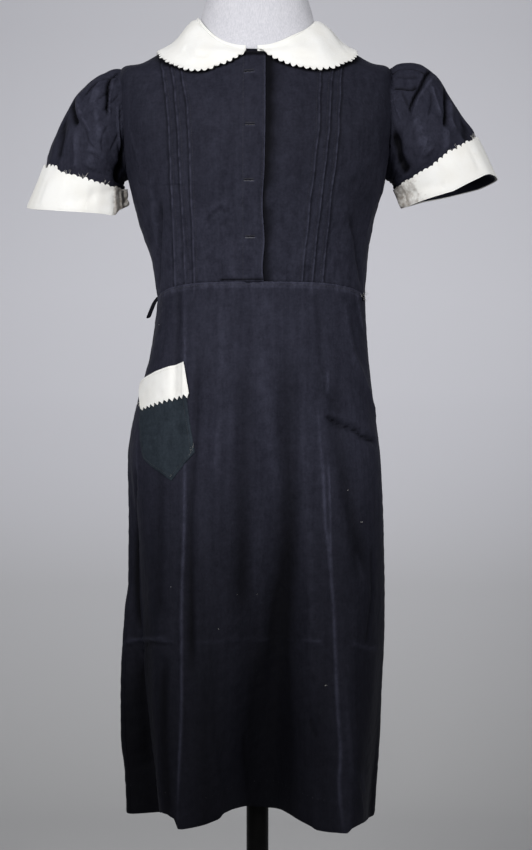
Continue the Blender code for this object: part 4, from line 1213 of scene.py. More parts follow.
def add_mix(tree, share, a, b):
    """Colour between two colours."""
    node = add_node(tree, "Mix", data_type="RGBA")
    places = {socket.identifier: k for k, socket in enumerate(node.inputs)}
    feed(tree, node, {places["Factor_Float"]: share, places["A_Color"]: a, places["B_Color"]: b})
    return next(socket for socket in node.outputs if socket.identifier == "Result_Color")


def add_range(tree, value, low, high, to_low=0, to_high=1):
    """A value taken from one range to another, and held there."""
    sockets = {"Value": value, "From Min": low, "From Max": high, "To Min": to_low, "To Max": to_high}
    return add_node(tree, "MapRange", sockets).outputs["Result"]


def add_noise(tree, place, scale, detail=3, rough=0.5):
    """Noise between 0 and 1 at a place."""
    sockets = {"Vector": place, "Scale": scale, "Detail": detail, "Roughness": rough}
    return add_node(tree, "TexNoise", sockets).outputs["Fac"]


def new_group(name, inputs, outputs):
    """A shader node group with named sockets, given as (name, kind) and for a number its default."""
    tree = bpy.data.node_groups.new(name, "ShaderNodeTree")
    for label, kind, *value in inputs:
        socket = tree.interface.new_socket(label, in_out="INPUT", socket_type="NodeSocket" + kind)
        if value:
            socket.default_value = value[0]
    for label, kind in outputs:
        tree.interface.new_socket(label, in_out="OUTPUT", socket_type="NodeSocket" + kind)
    return tree, tree.nodes.new("NodeGroupInput").outputs, tree.nodes.new("NodeGroupOutput").inputs


def weave_group():
    """Plain weave: threads over and under each other, sin(u) times sin(v), with some thicker threads."""
    tree, given, result = new_group(
        "Plain weave",
        [("Flat place", "Vector"), ("Threads per metre", "Float", 1600)],
        [("Height", "Float"), ("Thread tone", "Float")])
    axes = add_node(tree, "SeparateXYZ", {0: given["Flat place"]}).outputs
    turn = times(tree, given["Threads per metre"], pi)
    waves = [add_math(tree, "SINE", times(tree, axis, turn)) for axis in axes[:2]]
    cross = times(tree, waves[0], waves[1])
    threads = []
    for stretch in ((260, 9, 1), (9, 260, 1)):
        place = add_node(tree, "Mapping", {"Vector": given["Flat place"], "Scale": stretch})
        threads.append(add_noise(tree, place.outputs[0], 5, 2))
    slub = plus(tree, threads[0], threads[1])
    height = scaled(tree, cross, 0.25, times(tree, slub, 0.6))
    tree.links.new(height, result["Height"])
    tree.links.new(add_range(tree, slub, 0.75, 1.25), result["Thread tone"])


def crumple_group():
    """Fine crumpling of worn cloth: folded noise, 1 - |2n - 1|, at two sizes, and a soft swell."""
    tree, given, result = new_group(
        "Crumpled cloth",
        [("Place", "Vector"), ("Folds per metre", "Float", 40)],
        [("Height", "Float")])
    parts = []
    for factor, share in ((1, 0.5), (2.7, 0.25), (7, 0.1)):
        scale = times(tree, given["Folds per metre"], factor)
        noise = add_noise(tree, given["Place"], scale, 2, 0.45)
        fold = add_math(tree, "ABSOLUTE", scaled(tree, noise, 2, -1))
        parts.append(times(tree, fold, -share))
    height = plus(tree, parts[0], plus(tree, parts[1], parts[2]))
    tree.links.new(height, result["Height"])


def worn_dye_and_shade_group():
    """Faded dye: lighter in patches, upright streaks, worn edges and threads and painted highlights, and
    darkened by painted shade where its shade mask is high.
    """
    tree, given, result = new_group(
        "Worn dye and painted shade",
        [("Place", "Vector"), ("Dark", "Color"), ("Faded", "Color"),
         ("Wear", "Float", 0), ("Deep", "Float", 0),
         ("Thread tone", "Float", 0.5), ("Amount", "Float", 0.5)],
        [("Colour", "Color")])
    upright = add_node(tree, "Mapping", {"Vector": given["Place"], "Scale": (120, 120, 7)})
    share = times(tree, given["Thread tone"], 0.14)
    fine = None
    for place, scale, low, high, amount in ((given["Place"], 7, 0.3, 0.7, 0.22),
                                            (upright.outputs[0], 1, 0.35, 0.7, 0.26),
                                            (given["Place"], 300, 0.34, 0.7, 0.24),
                                            (given["Place"], 75, 0.34, 0.7, 0.24)):
        fine = add_range(tree, add_noise(tree, place, scale, 4, 0.62), low, high)
        share = scaled(tree, fine, amount, share)
    share = times(tree, share, given["Amount"])
    edge = times(tree, given["Wear"], scaled(tree, fine, 0.9, 0.4))
    share = plus(tree, share, edge)
    colour = add_mix(tree, share, given["Dark"], given["Faded"])
    # Painted shade: where its mask is high the colour is darkened towards near black.
    tree.links.new(add_mix(tree, given["Deep"], colour, (0.0012, 0.0012, 0.002, 1)), result["Colour"])


def lint_group():
    """Lint: single small specks, where a cell's own number is high and its middle is near."""
    tree, given, result = new_group(
        "Lint",
        [("Place", "Vector"), ("Cells per metre", "Float", 60),
         ("Rarity", "Float", 0.985)],
        [("Speck", "Float")])
    cell = add_node(tree, "TexVoronoi", {"Vector": given["Place"], "Scale": given["Cells per metre"]})
    chance = add_node(tree, "SeparateColor", {0: cell.outputs["Color"]}).outputs[0]
    rare = add_math(tree, "GREATER_THAN", chance, given["Rarity"])
    near = add_math(tree, "LESS_THAN", cell.outputs["Distance"], 0.045)
    tree.links.new(times(tree, rare, near), result["Speck"])


def jersey_group():
    """Fine speckled knit: rows of small loops, with light and dark flecks of yarn."""
    tree, given, result = new_group(
        "Speckled jersey",
        [("Flat place", "Vector"), ("Light", "Color"),
         ("Dark", "Color")],
        [("Colour", "Color"), ("Height", "Float")])
    place = add_node(tree, "Mapping", {"Vector": given["Flat place"], "Scale": (1, 0.95, 1)}).outputs[0]
    flecks = add_range(tree, add_noise(tree, place, 520, 3, 0.75), 0.4, 0.62)
    broad = add_range(tree, add_noise(tree, place, 120, 3, 0.6), 0.35, 0.65)
    share = scaled(tree, broad, 0.25, times(tree, flecks, 0.75))
    tree.links.new(add_mix(tree, share, given["Dark"], given["Light"]), result["Colour"])
    axes = add_node(tree, "SeparateXYZ", {0: given["Flat place"]}).outputs
    ribs = add_math(tree, "SINE", times(tree, axes[0], 2 * pi * 620))
    loops = add_math(tree, "SINE", times(tree, axes[1], 2 * pi * 780))
    tree.links.new(scaled(tree, times(tree, ribs, loops), 0.3, flecks), result["Height"])


def aged_white_group():
    """White cotton with age: warm mottling, and a brown-grey stain where its mask says."""
    tree, given, result = new_group(
        "Aged white",
        [("Place", "Vector"), ("Clean", "Color"), ("Aged", "Color"),
         ("Stain colour", "Color"), ("Stain", "Float", 0)],
        [("Colour", "Color")])
    broad = add_range(tree, add_noise(tree, given["Place"], 26, 5, 0.6), 0.4, 0.75)
    base = add_mix(tree, times(tree, broad, 0.55), given["Clean"], given["Aged"])
    edge = add_noise(tree, given["Place"], 150, 4, 0.65)
    soaked = scaled(tree, edge, 2.2, add_math(tree, "SUBTRACT", given["Stain"], 1.5))
    soaked = times(tree, add_range(tree, soaked, 0, 1), 0.92)
    tree.links.new(add_mix(tree, soaked, base, given["Stain colour"]), result["Colour"])


def new_material(name):
    """A new material's tree and Principled shader, and a point's place in space and on the flat cloth."""
    material = bpy.data.materials.new(name)
    material.use_nodes = True
    tree = material.node_tree
    coords = tree.nodes.new("ShaderNodeTexCoord").outputs
    return tree, tree.nodes["Principled BSDF"], coords["Object"], coords["UV"]


def place_group(tree, group, sockets):
    """Place a node group in a material, with its inputs."""
    node = tree.nodes.new("ShaderNodeGroup")
    node.node_tree = bpy.data.node_groups[group]
    return feed(tree, node, sockets).outputs


def add_bump(tree, shader, heights):
    """Chain bumps of (height, depth in metres, strength) into the shader's normal."""
    normal = None
    for height, depth, strength in heights:
        sockets = {"Height": height, "Distance": depth, "Strength": strength}
        if normal is not None:
            sockets["Normal"] = normal
        normal = add_node(tree, "Bump", sockets).outputs["Normal"]
    tree.links.new(normal, shader.inputs["Normal"])


def black_cotton(name, dark, faded, amount, folds):
    """Black plain-weave cotton, faded and slightly crumpled, with a little lint, painted highlights and
    painted shade.
    """
    tree, shader, place, flat = new_material(name)
    weave = place_group(tree, "Plain weave", {"Flat place": flat})
    # The first mask holds real wear and painted highlights, the deep mask painted shade.
    wear, deep = (add_node(tree, "Attribute", attribute_name=key).outputs["Fac"] for key in ("wear", "deep"))
    dye = place_group(tree, "Worn dye and painted shade", {
        "Place": place, "Dark": (*dark, 1), "Faded": (*faded, 1),
        "Wear": wear, "Deep": deep, "Thread tone": weave["Thread tone"], "Amount": amount})
    speck = place_group(tree, "Lint", {"Place": place})["Speck"]
    colour = add_mix(tree, speck, dye["Colour"], (0.16, 0.16, 0.17, 1))
    rough = add_range(tree, dye["Colour"], 0, 0.08, 0.72, 0.92)
    feed(tree, shader, {"Base Color": colour, "Roughness": rough, "Specular IOR Level": 0.06,
                        "Sheen Weight": 0.012, "Sheen Roughness": 0.45, "Sheen Tint": (0.62, 0.66, 1, 1)})
    upright = add_node(tree, "Mapping", {"Vector": place, "Scale": (1, 1, 0.45)})
    crumple = place_group(tree, "Crumpled cloth", {"Place": upright.outputs[0], "Folds per metre": folds})
    add_bump(tree, shader, [(crumple["Height"], 0.0032, 0.55), (weave["Height"], 0.00012, 0.45)])


def white_cotton(name, clean, aged, folds):
    """White cotton of the collar, cuffs and pocket band, softly mottled, stained where marked."""
    tree, shader, place, flat = new_material(name)
    stain = add_node(tree, "Attribute", attribute_name="stain").outputs["Fac"]
    colour = place_group(tree, "Aged white", {
        "Place": place, "Clean": (*clean, 1), "Aged": (*aged, 1),
        "Stain colour": (0.25, 0.205, 0.165, 1), "Stain": stain})["Colour"]
    feed(tree, shader, {"Base Color": colour, "Roughness": 0.88, "Specular IOR Level": 0.25,
                        "Sheen Weight": 0.08})
    weave = place_group(tree, "Plain weave", {"Flat place": flat, "Threads per metre": 1900})
    crumple = place_group(tree, "Crumpled cloth", {"Place": place, "Folds per metre": folds})
    add_bump(tree, shader, [(crumple["Height"], 0.001, 0.5), (weave["Height"], 0.0001, 0.4)])


def jersey():
    """Pale grey speckled jersey that covers the form."""
    tree, shader, _, flat = new_material("form_jersey_look")
    knit = place_group(tree, "Speckled jersey", {
        "Flat place": flat, "Light": (0.67, 0.66, 0.7, 1), "Dark": (0.53, 0.53, 0.57, 1)})
    feed(tree, shader, {"Base Color": knit["Colour"], "Roughness": 0.92, "Sheen Weight": 0.15})
    add_bump(tree, shader, [(knit["Height"], 0.0002, 0.5)])


def satin_enamel():
    """Black enamel of the pole and base, with faint dust and rubbed edges."""
    tree, shader, place, _ = new_material("black_enamel_look")
    dust = add_range(tree, add_noise(tree, place, 35, 5, 0.65), 0.4, 0.8)
    colour = add_mix(tree, times(tree, dust, 0.3), (0.0022, 0.0021, 0.002, 1), (0.015, 0.014, 0.013, 1))
    feed(tree, shader, {"Base Color": colour, "Roughness": add_range(tree, dust, 0, 1, 0.3, 0.5),
                        "Specular IOR Level": 0.12})
    add_bump(tree, shader, [(add_noise(tree, place, 900, 2), 0.00005, 0.4)])


def thread_look(name, colour):
    """Sewing thread."""
    tree, shader, place, _ = new_material(name)
    tone = add_range(tree, add_noise(tree, place, 300, 2), 0.3, 0.7)
    low = tuple(0.75 * c for c in colour)
    feed(tree, shader, {"Base Color": add_mix(tree, tone, (*low, 1), (*colour, 1)), "Roughness": 0.7,
                        "Sheen Weight": 0.1})


def make_finishes():
    """Build the shared node groups and every material, once."""
    if "black_cotton_look" in bpy.data.materials:
        return
    for build in (weave_group, crumple_group, worn_dye_and_shade_group, lint_group, jersey_group, aged_white_group):
        build()
    colours = bpy.context.scene.uniform_finish
    black_cotton("black_cotton_look", colours.black, colours.faded, colours.fading, 42)
    black_cotton("pocket_cotton_look", colours.pocket_black, colours.pocket_faded, colours.fading, 55)
    white_cotton("white_cotton_look", colours.white, colours.aged_white, 60)
    jersey()
    satin_enamel()
    thread_look("black_thread", colours.black_thread)
    thread_look("pale_thread", (0.2, 0.2, 0.19))
    thread_look("grey_thread", (0.085, 0.086, 0.094))
    thread_look("white_thread", (0.78, 0.76, 0.7))


def fitted(piece, slot, *nodes):
    """Let a piece ride on the body in place of the named nodes; slot is not used."""
    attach(piece, "root")
    if nodes:
        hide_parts(*nodes)
    return piece


def row_at(height):
    """Row of the bodice whose front lies at a height."""
    return interp(height, [row[4] for row in TORSO.values()], range(len(TORSO)))


def bodice_rows(side):
    """Rows of the bodice's grids, close together round the armholes and at the buttonholes."""
    low, high = ARMHOLE_ROW - ARMHOLE_HALF_ROWS, ARMHOLE_ROW + ARMHOLE_HALF_ROWS
    middle = ARMHOLE_ROW + ARMHOLE_HALF_ROWS * cos(linspace(pi, 0, 65))
    rows = concatenate([linspace(0, 0.12, 5)[:-1], linspace(0.12, low, 62)[:-1], middle,
                        linspace(high, NECK_ROW, 30)[1:]])
    if side < 0:
        spans = [linspace(*row_at((hole[0] - 0.0042, hole[0] + 0.0042)), 13) for hole in BUTTONHOLES.values()]
        rows = np.sort(concatenate([rows, *spans]))
        rows = rows[concatenate([[True], np.diff(rows) > 1e-4])]
    return rows


def side_edge(side, rows):
    """How far a front stops short of the side, as an angle: half a seam, or the armhole."""
    reach = np.clip(1 - ((rows - ARMHOLE_ROW) / ARMHOLE_HALF_ROWS) ** 2, 0, None) ** 0.5
    seam = 0.5 * SEAM / side_reach(side, rows)
    return np.maximum(radians(ARMHOLE_HALF_ANGLE) * reach, seam)


def angle_at(x, row):
    """Angle of the front point that lies at x on a bodice row."""
    left, right, _, front, _, _, _, square = read_columns(TORSO, row)
    across = np.where(x > 0, left, right)
    y = front * (1 - np.abs(x / across) ** square) ** (1 / square)
    return np.arctan2(y, x)


def front_guides(side, rows):
    """Lines that a front's columns follow, as x on each row: its edge, the placket and the tucks."""
    if side < 0:
        edge = through(PLACKET_EDGE, rows)
        lines = [edge, edge - 0.0009, edge - 0.0024, edge - 0.0042]
        lines += [np.full_like(rows, x) for x in (-0.0172, -0.019, -0.0208, -0.031)]
    else:
        lines = [np.full_like(rows, x) for x in (UNDER_EDGE, 0.004, 0.034)]
    for number in range(3):
        edge = tuck_edge(side, number, rows)
        lines += [side * (edge + off) for off in TUCK_GUIDES]
    return stack(lines, -1)


def with_allowance(angles, rows, side):
    """Add the seam allowance to a front's grid: under the back at the side, under the skirt at the waist.

    The extra cloth lies further in, so that no light comes through a seam.
    """
    angles = np.hstack([angles, angles[:, -1:] - side * 0.01, angles[:, -1:] - side * 0.04])
    sink = np.zeros_like(angles)
    sink[:, -2:] = (0.0012, 0.0016)
    sink = np.vstack([0 * sink[:1] + ((0.0022,), (0.0012,), (0,)), sink])
    return np.vstack([angles[:1].repeat(3, 0), angles]), concatenate([[-0.16, -0.03, -0.009], rows]), sink


def add_front(side):
    """A bodice front as thin cloth: its placket, three tucks, creases and the side with its armhole edge."""
    rows = bodice_rows(side)
    guides = front_guides(side, rows)
    widths = np.abs(np.diff(guides, axis=-1)).max(0)
    places = [np.arange(n) / n + k for k, n in enumerate(np.ceil(widths / FRONT_PITCH).astype(int))]
    places = concatenate(places + [[guides.shape[1] - 1]])
    low = np.minimum(places.astype(int), guides.shape[1] - 2)
    angles = angle_at(guides[:, low] + (guides[:, low + 1] - guides[:, low]) * (places - low), rows[:, None])
    end = (SIDE_ANGLES[side] + side * side_edge(side, rows))[:, None]
    angles = np.hstack([angles, angles[:, -1:] + (end - angles[:, -1:]) * linspace(0, 1, 38)[1:]])
    angles, rows, sink = with_allowance(angles, rows, side)
    row = np.broadcast_to(rows[:, None], angles.shape)
    folds = bodice_folds(angles, row)
    lift = bodice_lift(side, angles, row, folds) - sink
    lift = lift - 0.0006 * bell((angles - SIDE_ANGLES[side]) * BODY_RADIUS, 0.0016)
    outer, inner = (moved_out(torso, angles, row, lift - depth) for depth in (0, SHEET))
    x, height = outer[..., 0], outer[..., 2]
    pale, trough_shade = fold_marks(folds)
    # Ridges and the lower bodice painted lighter; troughs, the collar's shadow and the upper bodice painted
    # in shade.
    wear = 0.3 * pale + 0.15 * hold((1.165 - height) / 0.06)
    deep = 0.7 * trough_shade + collar_shadow(angles, row) + 0.15 * hold((height - 1.16) / 0.1)
    for number in range(3):
        off = side * x - tuck_edge(side, number, row)
        broken = 0.6 + 0.5 * ripple(height, 0, 101 + number + 5 * side, 0.011)
        # Along each tuck a pale line at its crest, worn and painted as highlight, a little painted shade on
        # its slope and painted shadow just past its drop.
        wear = wear + 1.1 * np.clip(broken, 0.05, 1.2) * bell(off + 0.0002, 0.0009)
        deep = deep + 0.42 * bell(off - 0.0019, 0.0012) + 0.1 * bell(off + 0.0035, 0.0025)
    edge = x - through(PLACKET_EDGE, row)
    if side > 0:
        # Painted shadow of the over-front's edge on the under-front, and painted shade over the whole
        # under-front.
        wide = 0.0125 - 0.007 * bell(height - 1.165, 0.02) - 0.002 * bell(height - 1.1, 0.018)
        wide = wide + 0.002 * ripple(height, 0, 58, 0.03)
        deep = deep + 0.1 + 0.78 * np.exp(-(np.clip(edge, 0, None) / wide) ** 2.4)
    else:
        # A pale line along the placket's folded edge, worn and painted as highlight, and a faint one at its
        # row of stitches.
        wear = wear + 0.9 * bell(edge + 0.0004, 0.001) + 0.1 * bell(x + 0.019, 0.0009)
        # Painted shadow under the placket's lower end at the waist.
        foot = height - torso(angles, 0)[..., 2] - 0.0022
        deep = deep + 0.9 * bell(foot, 0.0013) * hold((x + 0.052) / 0.004)
        # Painted shade in each buttonhole's slit, darkest in the two upper ones; the pale lips below are worn
        # threads.
        for hole in BUTTONHOLES.values():
            share, off = on_buttonhole(hole, x, height)
            dark = 1 if hole[0] > 1.2 else 0.35
            deep = deep + dark * (share > 0.04) * (share < 0.96) * bell(off - 0.0002, 0.0009)
            wear = wear + 1.2 * (share > 0) * (share < 1) * bell(off + 0.0016, 0.0007)
        wear = wear * (1 - np.clip(deep - 0.5, 0, 0.5))
    name = "front_" + SIDES[side]
    return add_black_cloth(name + "_cloth", "bodice_" + name, outer, inner,
                           flat_places(angles * BODY_RADIUS, height), wear, deep)


def collar_shadow(angles, row):
    """Mask of painted shadow on the cloth that the collar covers and shades, a little past its edge."""
    share = linspace(0, 1, 400)
    edge, edge_row = collar_grid(share, 1)
    turn = np.degrees(angles)
    turn = np.where(turn < 95, turn + 360, turn)
    past = (interp(turn, np.degrees(edge), edge_row) - row) * 0.03
    return 0.85 * np.exp(-(np.clip(past, 0, None) / 0.005) ** 2)


def add_back():
    """The bodice back as thin cloth, between the side seams and armholes."""
    rows = bodice_rows(0)
    start, end = (pi + side_edge(-1, rows))[:, None], (2 * pi - side_edge(1, rows))[:, None]
    angles = start + (end - start) * linspace(0, 1, 120)
    sink = np.vstack([0 * angles[:2] + ((0.0022,), (0.0015,)), 0 * angles])
    angles = np.vstack([angles[:1].repeat(2, 0), angles])
    row = np.broadcast_to(concatenate([[-0.16, -0.03], rows])[:, None], angles.shape)
    seams = bell((angles - pi) * BODY_RADIUS, 0.0016) + bell((angles - 2 * pi) * BODY_RADIUS, 0.0016)
    folds = bodice_folds(angles, row)
    pale, trough_shade = fold_marks(folds)
    lift = bodice_lift(0, angles, row, folds) - sink - 0.0006 * seams
    outer, inner = (moved_out(torso, angles, row, lift - depth) for depth in (0, SHEET))
    flat = flat_places(angles * BODY_RADIUS, outer[..., 2])
    # Ridges painted lighter; troughs and the collar's shadow painted in shade.
    return add_black_cloth("back_cloth", "bodice_back", outer, inner, flat, 0.3 * pale,
                           0.7 * trough_shade + collar_shadow(angles, row))


def even_by(density, first, last, count):
    """Places from first to last, closer together where the density is higher."""
    fine = linspace(first, last, 2001)
    amount = concatenate([[0], np.cumsum(density(0.5 * (fine[1:] + fine[:-1])))])
    return interp(linspace(0, amount[-1], count), amount, fine)


def add_skirt_panel(name, node, first, last, ridges, columns, rows):
    """A skirt panel as thin cloth from the waist seam to the hem, which is turned up inside."""
    seam = 0.5 * SEAM / SKIRT_RADIUS

    def density(angle):
        return 1 + sum(1.6 * bell(np.degrees(angle) - ridge, 4) for ridge in ridges)

    falls = concatenate([[0, 0.002, 0.004, 0.006], linspace(0.008, 0.055, 20)[:-1],
                         linspace(0.055, 0.997, rows), [0.9985, 1]])
    fall, angle = np.meshgrid(falls, even_by(density, first + seam, last - seam, columns), indexing="ij")
    seams = bell((angle - first) * SKIRT_RADIUS, 0.0018) + bell((angle - last) * SKIRT_RADIUS, 0.0018)
    folds = skirt_folds(angle, fall)
    lift = skirt_lift(angle, fall, folds) - 0.0006 * seams - 0.0004 * (fall > 0.9975)
    hem = interp(fall, (0.944, 0.9462), (0, 0.0008))
    outer, inner = (moved_out(hung_skirt, angle, fall, -(lift - depth)) for depth in (0, SHEET + hem))
    height, turn = outer[..., 2], np.degrees(angle)
    narrow = [crease for crease in SKIRT_CREASES if crease[0] > 0 and crease[1] < PRESSED_WIDTH]
    pressed = hold(relief(narrow, turn, height, BODY_SCALE) / 0.0014)
    pale, trough_shade = fold_marks(folds)
    # Pressed creases worn pale; ridges, the hem's edge, the band just under the waist seam and its gathers
    # painted lighter, as worn and as lit.
    wear = 0.42 * pressed + 0.24 * pale + 0.3 * (fall > 0.9978)
    wear = wear + 0.34 * hold((0.013 - fall) / 0.003) + 0.35 * bell(fall, 0.0014)
    wear = wear + 0.5 * waist_gathers(turn * BODY_SCALE[0], fall * SKIRT_LENGTH)
    # Painted shade: darker towards the hem, in troughs and between the low folds, and less on pressed
    # creases.
    deep = interp(height, *zip(*SKIRT_SHADE_BY_HEIGHT)) + 0.6 * trough_shade - 0.26 * pressed
    for middle, width, top, amount in SKIRT_SHADE_PATCHES:
        deep = deep + amount * bell(turn - middle, width) * hold((top - height) / 0.16)
    return add_black_cloth(name, node, outer, inner, flat_places(angle * BODY_RADIUS, height), wear, deep)


def add_sleeve(side):
    """A sleeve as thin cloth from inside its armhole seam to its hem under the cuff."""
    rows = concatenate([[-0.22, -0.08], linspace(0, 6.1, 84), linspace(6.2, SLEEVE_HEM_ROW, 8)])
    row, turn = np.meshgrid(rows, linspace(-pi, pi, 241)[:-1], indexing="ij")
    outer, inner = (sleeve_point(side, turn, row, -depth) for depth in (0, SHEET))
    name, turned = "sleeve_" + SIDES[side], np.degrees(turn)
    pale, trough_shade = fold_marks(relief(SLEEVE_CREASES[side], turned, row, SLEEVE_SCALE))
    flat = flat_places(turned * SLEEVE_SCALE[0], row * SLEEVE_SCALE[1], closed=True)
    # Ridges painted lighter, as worn and as lit; troughs painted in shade.
    return add_black_cloth(name + "_cloth", name, outer, inner, flat, 0.5 * pale, 1.5 * trough_shade, closed=True)


def cuff_teeth(side):
    """A fine line round a cuff's upper edge, and how many teeth its length takes."""
    edge = sleeve(side, linspace(-pi, pi, 401), CUFF_TOP_ROW)
    return edge, int(round(run_along(edge)[-1] / TOOTH_PITCH))


def cuff_top(side, turn):
    """Row of a cuff's upper edge: pinked teeth of uneven size on an edge that wanders."""
    edge, teeth = cuff_teeth(side)
    share = interp((turn + pi) / (2 * pi), even_places(edge, 400), linspace(0, 1, 401))
    tooth = teeth_wave(share * teeth, 0.75, 90 + side)
    wander = 0.0013 * ripple(share, 0, 93 + side, 0.09)
    return CUFF_TOP_ROW + (wander - 0.9 * TOOTH_DEPTH * (tooth - 0.45)) / CUFF_ROW


def add_cuff(side):
    """A white cuff as thin cloth, turned up over the sleeve's hem, its upper edge pinked."""
    edge, teeth = cuff_teeth(side)
    turns = -pi + 2 * pi * even_places(edge, teeth * 6)[:-1]
    up = concatenate([[0, 0.02, 0.05], linspace(0.09, 0.9, 16), [0.94, 0.97, 1]])
    up, turn = np.meshgrid(up, turns, indexing="ij")
    foot = SLEEVE_HEM_ROW + 0.03
    row = foot + (CUFF_TOP_ROW - foot) * up + (cuff_top(side, turn) - CUFF_TOP_ROW) * up ** 9
    outer, inner = (cuff_point(side, turn, row, -depth) for depth in (0, WHITE_SHEET))
    turned = np.degrees(turn)
    if side < 0:
        stain = hold((turned - 133) / 10) * (0.95 + 0.25 * (1 - up))
    else:
        stain = hold((turned - 112) / 40)
    stain = stain + 0.8 * bell(turned + 180, 22)
    name = "cuff_" + SIDES[side]
    flat = flat_places(turned * SLEEVE_SCALE[0], row * SLEEVE_SCALE[1], closed=True)
    return add_cloth(name + "_cloth", name, "white_cotton", outer, inner, flat, closed=True, stain=stain)


def add_collar():
    """The round collar as thin cloth: up from the neck seam, over its roll and down to a pinked edge.

    Across its width the cloth runs up inside, round a half circle at the roll,
    then over collar_point() to the edge, where each tooth is drawn out.
    """
    fine = linspace(0, 1, 801)
    edge = collar_point(fine, 1)
    teeth = int(round(run_along(edge)[-1] / (1.17 * TOOTH_PITCH)))
    shares = even_places(edge, teeth * 6)
    widths = concatenate([linspace(0, 0.3, 12), linspace(0.35, 0.88, 11), [0.92, 0.95, 0.975, 1]])
    width, share = np.meshgrid(widths, shares, indexing="ij")
    outer, inner = (collar_point(share, width, -depth) for depth in (0, WHITE_SHEET))
    run = unit(np.gradient(outer[-1], axis=0))
    down = outer[-1] - outer[-3]
    down = unit(down - (down * run).sum(1, keepdims=True) * run)
    tooth = 1.55 * TOOTH_DEPTH * (teeth_wave(np.arange(teeth * 6 + 1) / 6, 0.2, 97) - 0.6)
    tooth = tooth[:, None] * down * last_part(widths)[:, None, None]
    out = unit((outer[0] - inner[0]) * (1, 1, 0))
    radius, half = 0.0009, 0.5 * WHITE_SHEET
    centre = 0.5 * (outer[0] + inner[0]) - radius * out
    outer, inner = outer + tooth, inner + tooth
    turn = linspace(pi, 0, 8)[:-1, None, None]
    arm = cos(turn) * out + sin(turn) * UP
    stand = centre - radius * out - np.array([0.013, 0.01, 0.007, 0.004, 0.0015])[:, None, None] * UP
    outer = concatenate([stand - half * out, centre + (radius + half) * arm, outer])
    inner = concatenate([stand + half * out, centre + (radius - half) * arm, inner])
    flat = flat_places(shares[None, :] * run_along(edge)[-1], run_along(outer[:, 200])[:, None])
    return add_cloth("collar_cloth", "collar", "white_cotton", outer, inner, flat)


def add_neck_facing():
    """The black facing inside the collar's roll: a narrow band that peeps over it at the wearer's right."""
    turns = linspace(*np.radians(FACING_ENDS), 260)
    drop, turn = np.meshgrid(linspace(0, FACING_HEIGHT, 9), turns, indexing="ij")
    turned = np.degrees(turn)
    peep = -0.0012 + FACING_PEEP * bell(turned - 125, 22) - 0.002 * bell(turned - 165, 20)
    peep = peep + 0.0003 * ripple(turn * NECK_RADIUS, 0, 83, 0.02)
    out = stack([cos(turn), -sin(turn), 0 * turn], -1)
    outer = torso(turn, ROLL_ROW - COLLAR_LEFT_DIP * bell(turned - 368, 34)) - FACING_INSET * out
    outer[..., 2] += peep - drop
    # The facing's colour is painted in shade all over, and its peep over the roll at the wearer's right makes
    # the dark line of shade between collar and neck.
    return add_cloth("neck_facing_cloth", None, "black_cotton", outer, outer - SHEET * out,
                     flat_places(turn * NECK_RADIUS, -drop), deep=np.full_like(turn, 0.6))


def pocket_point(corners, lift, share, fall_share, out=0):
    """Point of a patch that lies over the creased skirt, at a lift and moved out further."""
    angle, fall = patch(corners, share, fall_share)
    own = relief(POCKET_CREASES, np.degrees(angle), skirt(angle, fall)[..., 2], BODY_SCALE)
    return skirt_point(angle, fall, lift + out + own)


def add_pocket():
    """The patch pocket as thin cloth over the skirt, its edges turned under and sewn down."""
    outer, inner = linspace(0.03, POCKET_TURN, 28), linspace(POCKET_TURN, 0.97, 14)[1:]
    shares = concatenate([[0, 0.012], outer, inner, [0.988, 1]])
    falls = concatenate([linspace(0, 0.97, 48), [0.988, 1]])
    fall, share = np.meshgrid(falls, shares, indexing="ij")
    # Metres to the nearest sewn edge, at a side or at the foot.
    edge = np.minimum(np.minimum(share, 1 - share) * 0.078, (1 - fall) * 0.09)
    lift = POCKET_LIFT + CLOTH - 0.001 * bell(edge, 0.001) + 0.0003 * bell(edge - 0.003, 0.0012)
    lift = lift - 0.0003 * bell(edge - 0.0048, 0.0009)
    outer, inner = (pocket_point(POCKET, lift - depth, share, fall) for depth in (0, SHEET))
    flat = flat_places(share * POCKET_WIDTH, outer[..., 2])
    return add_cloth("pocket_cloth", "pocket", "black_cotton", outer, inner, flat,
                     look="pocket_cotton_look", wear=0.25 * bell(edge - 0.0008, 0.001))


def add_pocket_band():
    """The pocket's white band as thin cloth, its lower edge in sharp pinked teeth."""
    teeth = 11
    falls = concatenate([[0, 0.02, 0.05], linspace(0.1, 0.86, 18), [0.9, 0.94, 0.97, 1]])
    fall, share = np.meshgrid(falls, linspace(0, 1, teeth * 6 + 1), indexing="ij")
    tooth = teeth_wave(share * teeth, 0.2, 99, sharp=1) * interp(share, (0, 0.3, 1), (0.75, 0.95, 1.15))
    down = fall + 1.15 * TOOTH_DEPTH * (tooth - 0.5) / BAND_DEPTH * last_part(fall)
    lift = BAND_LIFT + WHITE_CLOTH - 0.0007 * bell(fall * BAND_DEPTH, 0.001)
    outer, inner = (pocket_point(BAND, lift - depth, share, down) for depth in (0, WHITE_SHEET))
    return add_cloth("pocket_band_cloth", "pocket_flap", "white_cotton", outer, inner,
                     flat_places(share * BAND_WIDTH, outer[..., 2]))


def add_tube(name, rings, deep):
    """A closed mesh of black cotton through rings of points, with flat ends; deep is how far its colour is
    darkened towards near black.
    """
    faces = tube_faces(*rings.shape[:2], 1)
    middle = rings.mean(1, keepdims=True)
    arm = rings - middle
    if (np.cross(arm, np.roll(arm, -1, 1)) * np.gradient(middle, axis=0)).sum() > 0:
        faces = [block[:, ::-1] for block in faces]
    return add_mesh(name, rings, faces, "black_cotton_look", marks={"deep": np.full(rings.shape[:2], deep)})


